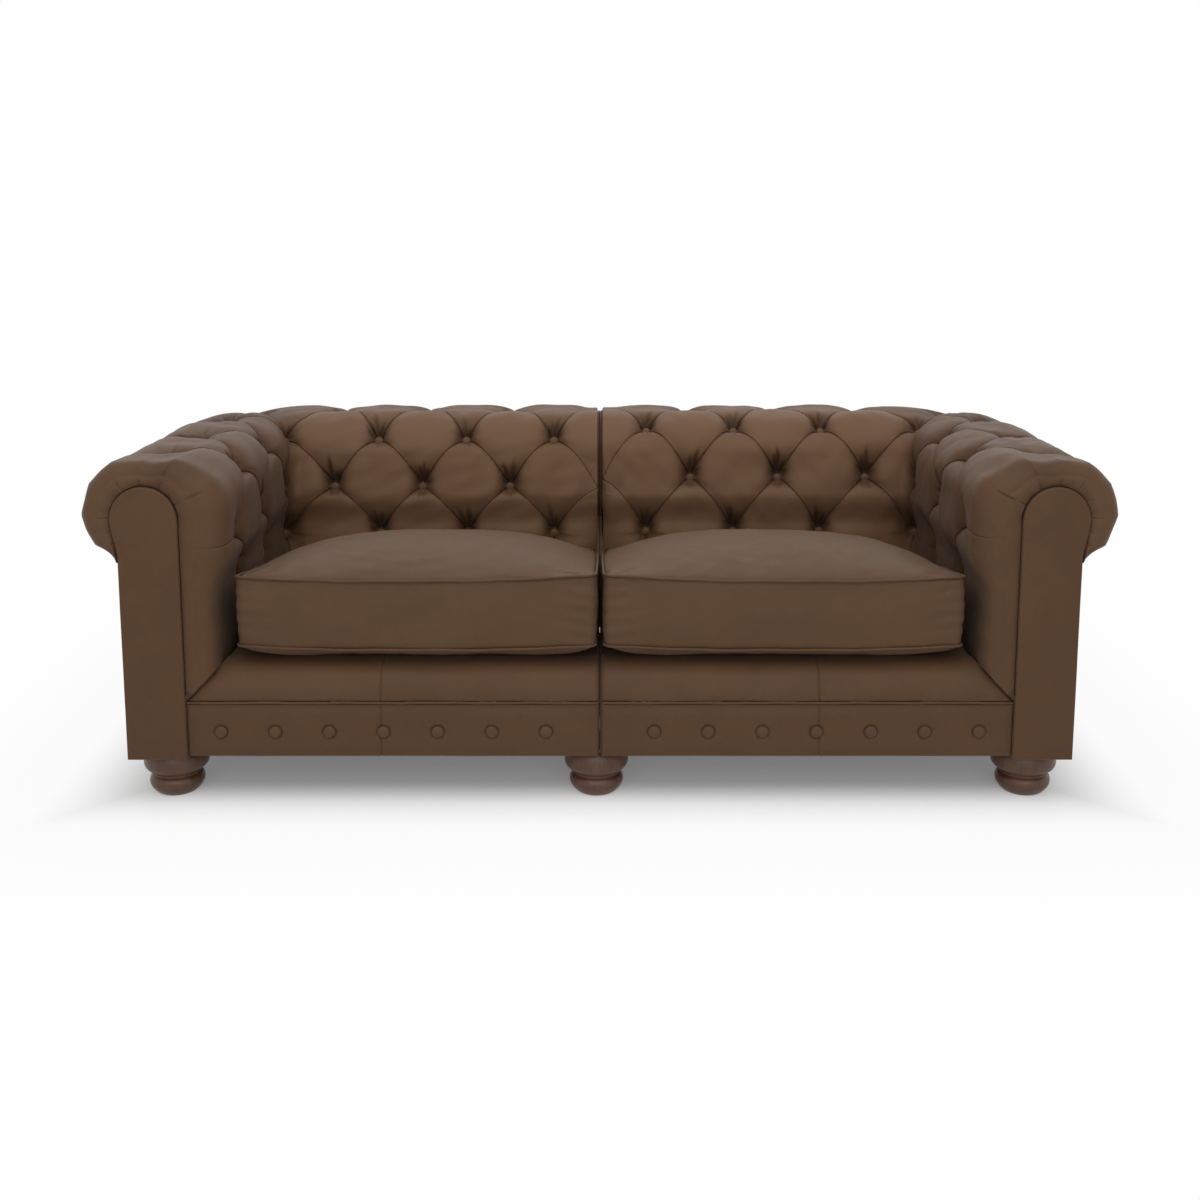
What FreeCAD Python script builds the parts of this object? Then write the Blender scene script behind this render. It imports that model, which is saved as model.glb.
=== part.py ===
"""A two-section chesterfield sofa in brown leather, built as its separate pieces.

Millimetres, +Z up, the seat faces -Y, and the origin lies on the floor under the middle.
The left section is modelled at x < 0. The right one is its mirror image with its own button rows.
A point of the back or the arm is told by its offset from the padded inner face, measured
outwards, and by its height. The same cross-section follows a path from the seam along the
back, round the corner and along the arm to the front.
"""

import math
import os

import FreeCAD
import Part
from FreeCAD import Vector

# Overall size
WIDTH = 2200.0
DEPTH = 975.0
HEIGHT = 760.0
FRONT = -DEPTH / 2
SEAM_GAP = 8.0

# Cross-section of the arm and back, at the crowns of the padding
INNER_X = 795.0
INNER_Y = FRONT + 670.0
SHOULDER_R = 106.0
SHOULDER_Z = HEIGHT - SHOULDER_R
ROLL_R = 111.0
ROLL_Z = HEIGHT - ROLL_R
ROLL_O = WIDTH / 2 - INNER_X - ROLL_R
PANEL_O = 227.0
CORNER_R = 25.0
PAD_BOTTOM = 240.0
BACK_LEAN = math.tan(math.radians(5.0))
TUCK_IN = 30.0
TUCK_TOP = 560.0
TUCK_SPAN = 90.0

# Button tufting: half columns along the path, rows up the cross-section
TUFT_DEPTH = 36.0
PLEAT_RISE = 20.0
PILLOW_EDGE = 0.17
PLEAT_FADE = 0.15
PLEAT_START = 0.35
CORNER_COLUMN = 7.0
FIRST_ARM_COLUMN = 8.0
LAST_COLUMN = 12.0
BACK_PITCH = 113.5
SEAM_COLUMN = 120.0 - BACK_PITCH
ARM_PITCH = 126.0
BUTTON_R = 11.0
ROWS = {"left": (622.0, 472.0, 335.0, 217.0), "right": (640.0, 500.0, 357.0, 221.0)}

# Keyhole outline shared by the facing, the scroll ribs and the hollow of the pads
ARCH_O = 168.5
ARCH_Z = 634.0
FACING_R = 72.0
HOLLOW_R = 72.5
EDGE_R = 73.5
RIB_R = 70.0
STEM_O = 97.0
FACING_T = 18.0
BULLNOSE = 75.0

# Base
HEM_Z = 110.0
FRAME_Z = 114.0
RAIL_TOP = 231.0
BORDER_TOP = 228.0
PIPING_R = 2.7
ROLL_BOTTOM = 234.0
RAIL_T = 25.0
DECK_TOP = 312.0
DECK_ROLL = 77.0
BORDER_Y = FRONT + 8.0
SEAT_RAIL_Y = FRONT + 703.0
BORDER_BUTTON_R = 13.0
BORDER_BUTTON_Z = 166.0
BORDER_BUTTONS = 7

# Seat cushions
CUSHION_FRONT = FRONT + 30.0
CUSHION_DEPTH = 620.0
CUSHION_OUT = 780.0
CUSHION_IN = 7.0
CUSHION_BOTTOM = 348.0
CUSHION_SEAM_Z = 500.0
CUSHION_CROWN = 560.0
CUSHION_DRAW = 7.0
COVER_T = 2.0

# Feet
FOOT_H = 108.0
FOOT_Y = FRONT + 97.0
REAR_FOOT_Y = FRONT + 790.0
FOOT_X = 945.0
REAR_FOOT_X = 860.0
CENTRE_FOOT_X = -8.0
PLATE_T = 4.0
BLOCK_H = 40.0
BOLT_R = 4.0
SCREW_R = 2.5

SPRING_WIRE = 2.0
SPRING_LOOP = 15.0
SPRING_HALF = 24.0

END_X = SEAM_GAP / 2
END_PANEL_T = 3.0
FAR_X = END_X + END_PANEL_T
PAD_END_X = FAR_X + 0.3
CORNER_X = INNER_X - CORNER_R
CORNER_Y = INNER_Y - CORNER_R
CORNER_FEET = [(-FOOT_X, FOOT_Y), (-REAR_FOOT_X, REAR_FOOT_Y)]
PLATE_SCREWS = [(-20.0, y + dy) for y in (FOOT_Y, REAR_FOOT_Y) for dy in (-50, 50)]


def smooth(t):
    t = min(1.0, max(0.0, t))
    return t * t * (3 - 2 * t)


# The path that the cross-section follows


def path_frame(column):
    """Point on the inner face line (offset 0) and outward direction at a half column."""
    if column <= CORNER_COLUMN:
        along = SEAM_COLUMN + BACK_PITCH * column
        if column > 6:
            along = SEAM_COLUMN + BACK_PITCH * 6
            rest = CORNER_X - along
            reach = rest + (CORNER_R + TUFT_DEPTH) * math.pi / 4
            gone = (column - 6) * reach
            if gone > rest:
                turn = (gone - rest) / (CORNER_R + TUFT_DEPTH)
                return corner_frame(turn)
            along += gone
        along = max(along, PAD_END_X)
        return Vector(-along, INNER_Y, 0), Vector(0, 1, 0)
    if column < FIRST_ARM_COLUMN:
        return corner_frame(math.pi / 4 * (1 + column - CORNER_COLUMN))
    y = CORNER_Y - ARM_PITCH * (column - FIRST_ARM_COLUMN)
    return Vector(-INNER_X, y, 0), Vector(-1, 0, 0)


def corner_frame(turn):
    out = Vector(-math.sin(turn), math.cos(turn), 0)
    return Vector(-CORNER_X, CORNER_Y, 0) + out * CORNER_R, out


def lean_share(column):
    """1 on the back, which leans, down to 0 on the upright arm."""
    return 1 - smooth((column - 6) / 2)


# The cross-section at the crowns of the padding

FACE_L = SHOULDER_Z - PAD_BOTTOM
SHOULDER_L = SHOULDER_R * math.pi / 2
TOP_L = ROLL_O - SHOULDER_R
ROLL_TURN = math.pi / 2 + math.acos((PANEL_O - ROLL_O) / ROLL_R)
SECTION_L = FACE_L + SHOULDER_L + TOP_L + ROLL_R * ROLL_TURN


def section_point(length, lean):
    """Offset, height and outward normal at a distance up the cross-section."""
    if length < FACE_L:
        z = PAD_BOTTOM + length
        back = TUCK_IN * smooth((TUCK_TOP - z) / TUCK_SPAN)
        return back - lean * BACK_LEAN * (SHOULDER_Z - z), z, -1.0, 0.0
    length -= FACE_L
    if length < SHOULDER_L:
        a = length / SHOULDER_R
        return (
            SHOULDER_R * (1 - math.cos(a)),
            SHOULDER_Z + SHOULDER_R * math.sin(a),
            -math.cos(a),
            math.sin(a),
        )
    length -= SHOULDER_L
    if length < TOP_L:
        return SHOULDER_R + length, HEIGHT, 0.0, 1.0
    a = (length - TOP_L) / ROLL_R
    return ROLL_O + ROLL_R * math.sin(a), ROLL_Z + ROLL_R * math.cos(a), math.sin(a), math.cos(a)


def row_length(row, rows):
    """Distance up the cross-section of a row, 0 on top of the roll to 3 by the cushion.

    Between rows the step grows downwards, so that a pleat leaves its upper button level and
    comes down steeply on the lower one.
    """
    if row <= 0:
        return rows[0] + (SECTION_L - rows[0]) * min(1.0, -row)
    if row >= 3:
        return rows[3] * (4 - min(4.0, row))
    n = min(2, int(row))
    step = PLEAT_START * (row - n) + (1 - PLEAT_START) * (row - n) ** 2
    return rows[n] + (rows[n + 1] - rows[n]) * step


# How high the padding stands over its buttons


def swell(x):
    x = min(1.0, max(0.0, x))
    side = (1 - math.exp(-x / PILLOW_EDGE)) * (1 - math.exp(-(1 - x) / PILLOW_EDGE))
    return side / (1 - math.exp(-0.5 / PILLOW_EDGE)) ** 2


def pleat_rise(x):
    return max(0.0, math.sin(math.pi * min(1.0, max(0.0, x)))) ** 0.6


def near_edge(x):
    return math.exp(-min(x, 1 - x) / PLEAT_FADE)


def pillow(p, q):
    """Height inside one diamond, whose sides are p and q = 0 and 1."""
    near_p, near_q = near_edge(p), near_edge(q)
    valley = (near_p * pleat_rise(q) + near_q * pleat_rise(p)) / (near_p + near_q)
    full = swell(p) * swell(q)
    return TUFT_DEPTH * full + PLEAT_RISE * valley * (1 - full)


def diamond(column, row):
    """Buttons stand where column + row is even; this is the height between them."""
    up, down = (column + row) / 2, (column - row) / 2
    return pillow(up - math.floor(up), down - math.floor(down))


def fluting(across, reach):
    """Height between straight pleats, 0 and 1 across, that set out from a row of buttons."""
    full = swell(across) ** (2 - smooth(reach / 0.35))
    valley = 1 - (1 - pleat_rise(across)) * (1 - min(1.0, reach / 0.3) ** 0.6)
    return TUFT_DEPTH * full + PLEAT_RISE * valley * (1 - full)


def tuft_height(column, row):
    """Height of the padding over button level at a half column and row."""
    over, under, front = max(0.0, -row), max(0.0, row - 3), max(0.0, column - LAST_COLUMN)
    if front > 0 and (over > 0 or under > 0):
        return TUFT_DEPTH
    if front > 0:
        return fluting((row / 2) % 1, front)
    if over > 0:
        height = fluting((column / 2) % 1, over)
    elif under > 0:
        height = fluting(((column - 1) / 2) % 1, under)
    else:
        height = diamond(column, row)
    beside = abs(column - CORNER_COLUMN)
    if row < 1 and beside < 1:
        height *= 0.5 + 0.5 * (1 - math.exp(-beside / PILLOW_EDGE))
    return height


def padded_point(column, row, rows, height):
    """Offset and height above the floor of leather that stands this high over button level."""
    o, z, out_o, out_z = section_point(row_length(row, rows), lean_share(column))
    sink = TUFT_DEPTH - height
    return o - out_o * sink, z - out_z * sink


# Wires and solids


def line_or_arc(a, b, c):
    """An arc through three points, or a line where they are straight."""
    if (b - a).cross(c - a).Length < 1e-3 * (c - a).Length:
        return Part.LineSegment(a, c).toShape()
    return Part.Arc(a, b, c).toShape()


def box(x0, x1, y0, y1, z0, z1):
    low = Vector(min(x0, x1), min(y0, y1), min(z0, z1))
    return Part.makeBox(abs(x1 - x0), abs(y1 - y0), abs(z1 - z0), low)


def cylinder(r, h, x, y, z):
    return Part.makeCylinder(r, h, Vector(x, y, z))


def place(frame, offset, z):
    base, out = frame
    return base + out * offset + Vector(0, 0, z)


# The row stops of a section: each pair is joined by one arc
ROW_STOPS = (4.0, 3.0, 2.0, 1.0, 0.0, -0.5, -1.0)
# The hollow behind the padding, from the lip under the roll back to the bottom
LIP = 4.0
HOLLOW = (
    ((PANEL_O, 547.0), (PANEL_O + 3, 568.0), (PANEL_O + 8, 590.0)),
    ((PANEL_O + 8, 590.0), (ARCH_O + HOLLOW_R, 610.0), (ARCH_O + HOLLOW_R, ARCH_Z)),
)


def pad_section(frame, outer):
    """A closed section of padding: the leather side through outer, then the hollow."""
    edges = []
    points = [place(frame, o, z) for o, z in outer]
    for n in range(0, len(points) - 2, 2):
        edges.append(line_or_arc(points[n], points[n + 1], points[n + 2]))
    back = [place(frame, PANEL_O, 547.0)]
    edges.append(Part.LineSegment(points[-1], back[0]).toShape())
    for a, b, c in HOLLOW:
        edges.append(line_or_arc(place(frame, *a), place(frame, *b), place(frame, *c)))
    half = HOLLOW_R * math.sqrt(0.5)
    top = place(frame, ARCH_O, ARCH_Z + HOLLOW_R)
    edges.append(
        line_or_arc(
            place(frame, ARCH_O + HOLLOW_R, ARCH_Z), place(frame, ARCH_O + half, ARCH_Z + half), top
        )
    )
    foot = place(frame, ARCH_O - HOLLOW_R, ARCH_Z)
    edges.append(line_or_arc(top, place(frame, ARCH_O - half, ARCH_Z + half), foot))
    bottom = place(frame, ARCH_O - HOLLOW_R, PAD_BOTTOM)
    edges.append(Part.LineSegment(foot, bottom).toShape())
    edges.append(Part.LineSegment(bottom, points[0]).toShape())
    return Part.Wire(edges)


def tufted_outline(column, rows):
    """Ends and middles of the arcs; no middle is so high that its arc passes over both ends."""
    outer = []
    for upper, lower in zip(ROW_STOPS, ROW_STOPS[1:]):
        start, end = tuft_height(column, upper), tuft_height(column, lower)
        middle = tuft_height(column, (upper + lower) / 2)
        middle = min(middle, 0.75 * max(start, end) + 0.25 * min(start, end))
        outer.append(padded_point(column, upper, rows, start))
        outer.append(padded_point(column, (upper + lower) / 2, rows, middle))
    outer.append((PANEL_O + LIP, 547.0))
    return outer


def front_outline(column, rows, share):
    """The outline at the front, drawn in from the full section to the facing by share."""
    full = tufted_outline(column, rows)
    drawn = []
    for n, (o, z) in enumerate(full):
        # the facing's own outline, met along a line from the arch's centre
        height = min(z, ARCH_Z)
        angle = math.atan2(z - ARCH_Z, o - ARCH_O) if z > ARCH_Z else 0.0
        if z > ARCH_Z:
            near = (ARCH_O + EDGE_R * math.cos(angle), ARCH_Z + EDGE_R * math.sin(angle))
        elif o < ARCH_O:
            near = (STEM_O - 1.5, height)
        else:
            near = (ARCH_O + EDGE_R, height) if z > 600 else (PANEL_O + 10, height)
        if n == len(full) - 1:
            near = (PANEL_O + LIP, 547.0)
        drawn.append((near[0] + (o - near[0]) * share, near[1] + (z - near[1]) * share))
    return drawn


def lofted(sections):
    solid = Part.makeLoft(sections, True, True)
    if solid.Volume < 0:
        solid.reverse()
    return solid


def inside_back(rows):
    columns = [0.0] + [0.5 * n for n in range(1, 13)] + [6.4, 6.64, 6.73, 6.82, 6.91, 6.995]
    return lofted([pad_section(path_frame(c), tufted_outline(c, rows)) for c in columns])


def inside_arm(rows):
    columns = [7.003, 7.25, 7.5, 7.75] + [8.0 + 0.5 * n for n in range(9)]
    sections = [pad_section(path_frame(c), tufted_outline(c, rows)) for c in columns]
    front = LAST_COLUMN + 0.3
    for share_of_turn in (0.0, 0.35, 0.65, 0.9):
        turn = share_of_turn * math.pi / 2
        y = FRONT + 4.0 + BULLNOSE * (1 - math.sin(turn))
        frame = Vector(-INNER_X, y, 0), Vector(-1, 0, 0)
        sections.append(pad_section(frame, front_outline(front, rows, math.cos(turn))))
    return lofted(sections)


def keyhole(radius, stem_in, stem_out, bottom, clear):
    """The facing's outline as a flat wire in offset and height, the arch bulging outwards."""
    half = radius * math.sqrt(0.5)
    hip = ARCH_Z - radius * 0.62
    p = [
        (stem_in, bottom),
        (stem_in, ARCH_Z),
        (ARCH_O - half, ARCH_Z + half),
        (ARCH_O, ARCH_Z + radius),
        (ARCH_O + half, ARCH_Z + half),
        (ARCH_O + radius, ARCH_Z),
        (ARCH_O + radius * 0.97, ARCH_Z - radius * 0.3),
        (stem_out + clear, hip - 14),
        (stem_out, hip - 40),
        (stem_out, bottom),
    ]
    v = [Vector(o, 0, z) for o, z in p]
    edges = [
        Part.LineSegment(v[0], v[1]).toShape(),
        line_or_arc(v[1], v[2], v[3]),
        line_or_arc(v[3], v[4], v[5]),
        line_or_arc(v[5], v[6], v[7]),
        Part.LineSegment(v[7], v[8]).toShape(),
        Part.LineSegment(v[8], v[9]).toShape(),
        Part.LineSegment(v[9], v[0]).toShape(),
    ]
    return Part.Wire(edges)


def board_on_arm(wire, y, thickness):
    """A flat outline stood across the arm, its face at y."""
    solid = Part.Face(wire).extrude(Vector(0, thickness, 0))
    solid = solid.mirror(Vector(0, 0, 0), Vector(1, 0, 0))
    solid.translate(Vector(-INNER_X, y, 0))
    return solid


def board_on_back(wire, x, thickness):
    """A flat outline stood across the back, from x towards the arm."""
    solid = Part.Face(wire).extrude(Vector(0, thickness, 0))
    solid.rotate(Vector(0, 0, 0), Vector(0, 0, 1), 90)
    solid.translate(Vector(-x, INNER_Y, 0))
    return solid


def ring(r_in, r_out, z0, z1, start, sweep):
    """Part of a ring round the corner's centre, from the back (0 degrees) towards the arm (90)."""
    outer = Part.makeCylinder(r_out, z1 - z0, Vector(0, 0, z0), Vector(0, 0, 1), sweep)
    inner = Part.makeCylinder(r_in, z1 - z0 + 2, Vector(0, 0, z0 - 1))
    solid = outer.cut(inner)
    solid.rotate(Vector(0, 0, 0), Vector(0, 0, 1), 90 + start)
    solid.translate(Vector(-CORNER_X, CORNER_Y, 0))
    return solid


def along_arm(o_in, o_out, z0, z1, y_front):
    return box(-INNER_X - o_out, -INNER_X - o_in, y_front, CORNER_Y, z0, z1)


def along_back(o_in, o_out, z0, z1, x_end):
    return box(-CORNER_X, -x_end, INNER_Y + o_in, INNER_Y + o_out, z0, z1)


# Wooden frame


def base_rails():
    seat_in = INNER_X + STEM_O + 1
    inner, outer = PANEL_O - 31, PANEL_O - 6
    seat = [
        box(-seat_in, -FAR_X, FRONT + 14, FRONT + 14 + RAIL_T, FRAME_Z, RAIL_TOP),
        box(-seat_in + 1, -FAR_X, SEAT_RAIL_Y, SEAT_RAIL_Y + RAIL_T, FRAME_Z, RAIL_TOP),
    ]
    sides = [
        along_arm(inner, outer, FRAME_Z, RAIL_TOP, FRONT + 44),
        ring(inner + CORNER_R, outer + CORNER_R, FRAME_Z, RAIL_TOP, 0, 90),
        along_back(inner, outer, FRAME_Z, RAIL_TOP, FAR_X),
        box(
            -seat_in + 1,
            -seat_in + 1 - RAIL_T,
            FRONT + 44,
            SEAT_RAIL_Y + RAIL_T,
            FRAME_Z,
            RAIL_TOP,
        ),
    ]
    cross = []
    for x in (FAR_X, 400.0, 700.0):
        for y0, y1 in (
            (FRONT + 14 + RAIL_T, SEAT_RAIL_Y),
            (SEAT_RAIL_Y + RAIL_T, INNER_Y + inner),
        ):
            cross.append(box(-x, -x - RAIL_T, y0, y1, FRAME_Z, RAIL_TOP))
    return seat, sides, cross


ROLL_RAIL = (148.0, 189.0, 620.0, 645.0)


def roll_rail():
    """The rail inside the roll, in three pieces that follow the path."""
    o_in, o_out, z0, z1 = ROLL_RAIL
    return [
        along_arm(o_in, o_out, z0, z1, FRONT + 44),
        ring(o_in + CORNER_R, o_out + CORNER_R, z0, z1, 0, 90),
        along_back(o_in, o_out, z0, z1, FAR_X + RAIL_T),
    ]


def scroll_ribs():
    """Front post, ribs along the arm, ribs along the back and the end post at the seam."""
    post = board_on_arm(
        keyhole(RIB_R, STEM_O + 1, PANEL_O - 5, FRAME_Z, 0), FRONT + FACING_T + 1, RAIL_T
    )
    outline = keyhole(RIB_R, STEM_O + 1, PANEL_O - 9, RAIL_TOP, 0)
    o_in, o_out, z0, z1 = ROLL_RAIL
    play = 0.3
    arm = [board_on_arm(outline, FRONT + y, FACING_T) for y in (300.0, 560.0)]
    notch_arm = box(
        -INNER_X - o_out - play, -INNER_X - o_in + play, FRONT, CORNER_Y, z0 - play, z1 + play
    )
    back = [board_on_back(outline, x, FACING_T) for x in (403.0, 703.0)]
    notch_back = box(
        -CORNER_X, 0, INNER_Y + o_in - play, INNER_Y + o_out + play, z0 - play, z1 + play
    )
    end = board_on_back(outline, FAR_X, RAIL_T)
    return post, [r.cut(notch_arm) for r in arm], [r.cut(notch_back) for r in back], end


def corner_blocks():
    """A glued block over each corner foot, between the rails, bored for the foot's bolt."""
    inner, outer = INNER_X + STEM_O + RAIL_T, INNER_X + PANEL_O - 31
    top = FRAME_Z + BLOCK_H
    front = box(-outer, -inner, FOOT_Y - 40, FOOT_Y + 40, FRAME_Z, top)
    turn = math.degrees(math.atan2(REAR_FOOT_X - CORNER_X, REAR_FOOT_Y - CORNER_Y))
    rear = ring(130, PANEL_O - 31 + CORNER_R, FRAME_Z, top, turn - 15, 30)
    return [
        block.cut(cylinder(BOLT_R + 2.1, 60, x, y, FRAME_Z - 5))
        for block, (x, y) in zip((front, rear), CORNER_FEET)
    ]


# Seat


def sinuous_spring(x):
    """A zigzag of round wire from the front rail to the rear seat rail."""
    y, z = FRONT + 22.0, RAIL_TOP + 2 + SPRING_WIRE
    bends = int((SEAT_RAIL_Y + RAIL_T - 6 - y) / (2 * SPRING_LOOP))
    edges, side = [], 1.0
    edges.append(
        Part.LineSegment(Vector(x - SPRING_HALF, y, z), Vector(x + SPRING_HALF, y, z)).toShape()
    )
    for n in range(bends):
        at = Vector(x + side * SPRING_HALF, y + 2 * SPRING_LOOP * n, z)
        over = at + Vector(0, 2 * SPRING_LOOP, 0)
        edges.append(Part.Arc(at, at + Vector(side * SPRING_LOOP, SPRING_LOOP, 0), over).toShape())
        across = over - Vector(side * 2 * SPRING_HALF, 0, 0)
        edges.append(Part.LineSegment(over, across).toShape())
        side = -side
    path = Part.Wire(edges)
    start = edges[0].Vertexes[0].Point
    ring_edge = Part.Circle(start, Vector(1, 0, 0), SPRING_WIRE).toShape()
    return path.makePipeShell([Part.Wire([ring_edge])], True, False)


SPRING_PLACES = (90.0, 245.0, 400.0, 560.0, 715.0)


def spring_clips():
    clips = []
    for x in SPRING_PLACES:
        for y in (FRONT + 22, SEAT_RAIL_Y + 12):
            clips.append(box(-x - 20, -x + 20, y - 8, y + 8, RAIL_TOP, RAIL_TOP + 2))
    return clips


def deck_front_roll():
    """The padded edge in front of the deck, mitred against the arm."""
    y0, z0, z1 = BORDER_Y, ROLL_BOTTOM, DECK_TOP
    y1 = y0 + DECK_ROLL
    mid = Vector(0, y0 + DECK_ROLL * 0.29, z0 + (z1 - z0) * 0.71)
    points = [
        Vector(0, y0, z0),
        Vector(0, y1, z1),
        Vector(0, y1, PAD_BOTTOM),
        Vector(0, y0 + 5, PAD_BOTTOM),
        Vector(0, y0 + 5, z0),
    ]
    edges = [Part.Arc(points[0], mid, points[1]).toShape()]
    for n in range(1, 5):
        edges.append(Part.LineSegment(points[n], points[(n + 1) % 5]).toShape())
    roll = Part.Face(Part.Wire(edges)).extrude(Vector(INNER_X + STEM_O - FAR_X - 1, 0, 0))
    roll.translate(Vector(-INNER_X - STEM_O, 0, 0))
    return roll.cut(mitre(0.3, Vector(0, 0, 150)))


def mitre(step, side):
    """The wedge on one side of the slanting line where the deck's front meets the arm's."""
    start = Vector(-INNER_X - STEM_O - 20 + step, FRONT - 5, ROLL_BOTTOM - 20 - step)
    end = start + Vector(150, 0, 150)
    third = start + side
    wedge = Part.Face(Part.makePolygon([start, end, third, start]))
    return wedge.extrude(Vector(0, BORDER_Y + DECK_ROLL + 5.5 - FRONT, 0))


def deck():
    """The deck's foam and the cover over it, behind the front roll."""
    x0, x1 = -INNER_X - TUCK_IN + 9, -PAD_END_X
    y0, y1 = BORDER_Y + DECK_ROLL + 0.5, INNER_Y - 8
    foam = box(x0, x1, y0, y1, PAD_BOTTOM, DECK_TOP - 3.5)
    cover = box(x0, x1, y0, y1, DECK_TOP - 3, DECK_TOP)
    return foam, cover


def cushion(shrink):
    """A boxed seat cushion: flat-bottomed, sides drawn in at the corners, crowned on top."""
    x_mid = -(CUSHION_OUT + CUSHION_IN) / 2
    half = (CUSHION_OUT - CUSHION_IN) / 2 - shrink
    y0, y1 = CUSHION_FRONT + shrink, CUSHION_FRONT + CUSHION_DEPTH - shrink
    z0 = CUSHION_BOTTOM + shrink
    sections = []
    for share in (0.0, 0.04, 0.12, 0.26, 0.5, 0.74, 0.88, 0.96, 1.0):
        y = y0 + (y1 - y0) * share
        dome = (1 - abs(2 * share - 1) ** 2.6) ** 0.75
        draw = CUSHION_DRAW * (1 - 2 * share) ** 2
        wide = half - draw
        side_z = CUSHION_SEAM_Z - shrink
        crown = side_z + 6 + (CUSHION_CROWN - CUSHION_SEAM_Z - 6) * dome
        sag = 4 + (CUSHION_BOTTOM - DECK_TOP - 4.5) * dome
        low, high = z0, side_z
        mid_z = (low + high) / 2
        bulge = 2.0

        def at(x, z):
            return Vector(x_mid + x, y, z)

        flat = wide * 0.55
        edges = [
            Part.LineSegment(at(-flat, low - sag), at(flat, low - sag)).toShape(),
            line_or_arc(
                at(flat, low - sag),
                at((flat + wide) / 2, low - sag * 0.72),
                at(wide - 1, low),
            ),
            line_or_arc(at(wide - 1, low), at(wide + bulge, mid_z), at(wide - 1, high)),
            line_or_arc(
                at(wide - 1, high), at(wide * 0.62, high + (crown - high) * 0.78), at(0, crown)
            ),
            line_or_arc(
                at(0, crown), at(-wide * 0.62, high + (crown - high) * 0.78), at(1 - wide, high)
            ),
            line_or_arc(at(1 - wide, high), at(-wide - bulge, mid_z), at(1 - wide, low)),
            line_or_arc(
                at(1 - wide, low),
                at(-(flat + wide) / 2, low - sag * 0.72),
                at(-flat, low - sag),
            ),
        ]
        sections.append(Part.Wire(edges))
    return lofted(sections)


def cushion_piping():
    """Loops of covered cord, sewn in round the top and bottom edges of the cushion.

    Each loop is two halves, joined at the middle of the front and of the back. A half is a
    straight run, a corner, a long shallow arc along the side and the same again in reverse.
    """
    out, bend = 0.7, 8.0
    x_mid = -(CUSHION_OUT + CUSHION_IN) / 2
    wide = (CUSHION_OUT - CUSHION_IN) / 2 - 1 + out
    long = CUSHION_DEPTH / 2 + out
    y_mid = CUSHION_FRONT + CUSHION_DEPTH / 2
    side_r = (long * long + CUSHION_DRAW * CUSHION_DRAW) / (2 * CUSHION_DRAW)
    centre_x = wide - side_r
    bend_x = centre_x + math.sqrt((side_r - bend) ** 2 - (long - bend) ** 2)
    reach = side_r / (side_r - bend)
    meet = (centre_x + (bend_x - centre_x) * reach, (long - bend) * reach)
    turn = math.atan2(meet[1] - long + bend, meet[0] - bend_x)
    mid_turn = (math.pi / 2 + turn) / 2
    corner = (bend_x + bend * math.cos(mid_turn), long - bend + bend * math.sin(mid_turn))
    halves = []
    for z in (CUSHION_BOTTOM - out, CUSHION_SEAM_Z + out):
        for hand in (1, -1):

            def at(x, y):
                return Vector(x_mid + hand * x, y_mid + y, z)

            path = [
                Part.LineSegment(at(0, -long), at(bend_x, -long)).toShape(),
                Part.Arc(
                    at(bend_x, -long), at(corner[0], -corner[1]), at(meet[0], -meet[1])
                ).toShape(),
                Part.Arc(at(meet[0], -meet[1]), at(wide, 0), at(*meet)).toShape(),
                Part.Arc(at(*meet), at(*corner), at(bend_x, long)).toShape(),
                Part.LineSegment(at(bend_x, long), at(0, long)).toShape(),
            ]
            circle = Part.Circle(at(0, -long), Vector(1, 0, 0), PIPING_R).toShape()
            halves.append(Part.Wire(path).makePipeShell([Part.Wire([circle])], True, False))
    return halves


# Covers


def front_border():
    x0 = -INNER_X - STEM_O
    return box(x0, -END_X, BORDER_Y, BORDER_Y + 5, HEM_Z, BORDER_TOP)


def border_piping():
    x0, length = -INNER_X - STEM_O, INNER_X + STEM_O - END_X
    centre = Vector(x0, BORDER_Y + 1, (BORDER_TOP + ROLL_BOTTOM) / 2)
    return Part.makeCylinder(PIPING_R, length, centre, Vector(1, 0, 0))


def dome(radius, height, rim):
    """A covered button, its back on z = 0: a short rim under a shallow ball's cap."""
    rise = height - rim
    ball = (radius * radius + rise * rise) / (2 * rise)
    half = math.asin(radius / ball) / 2
    mid = Vector(ball * math.sin(half), 0, height - ball * (1 - math.cos(half)))
    profile = [
        Part.LineSegment(Vector(0, 0, 0), Vector(radius, 0, 0)).toShape(),
        Part.LineSegment(Vector(radius, 0, 0), Vector(radius, 0, rim)).toShape(),
        Part.Arc(Vector(radius, 0, rim), mid, Vector(0, 0, height)).toShape(),
        Part.LineSegment(Vector(0, 0, height), Vector(0, 0, 0)).toShape(),
    ]
    return Part.Face(Part.Wire(profile)).revolve(Vector(0, 0, 0), Vector(0, 0, 1), 360)


def border_buttons():
    buttons = []
    first, last = 117.0, 819.0
    for n in range(BORDER_BUTTONS):
        x = first + (last - first) * n / (BORDER_BUTTONS - 1)
        button = dome(BORDER_BUTTON_R, 5.0, 1.5)
        button.rotate(Vector(0, 0, 0), Vector(1, 0, 0), 90)
        button.translate(Vector(-x, BORDER_Y, BORDER_BUTTON_Z))
        buttons.append(button)
    return buttons


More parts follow.
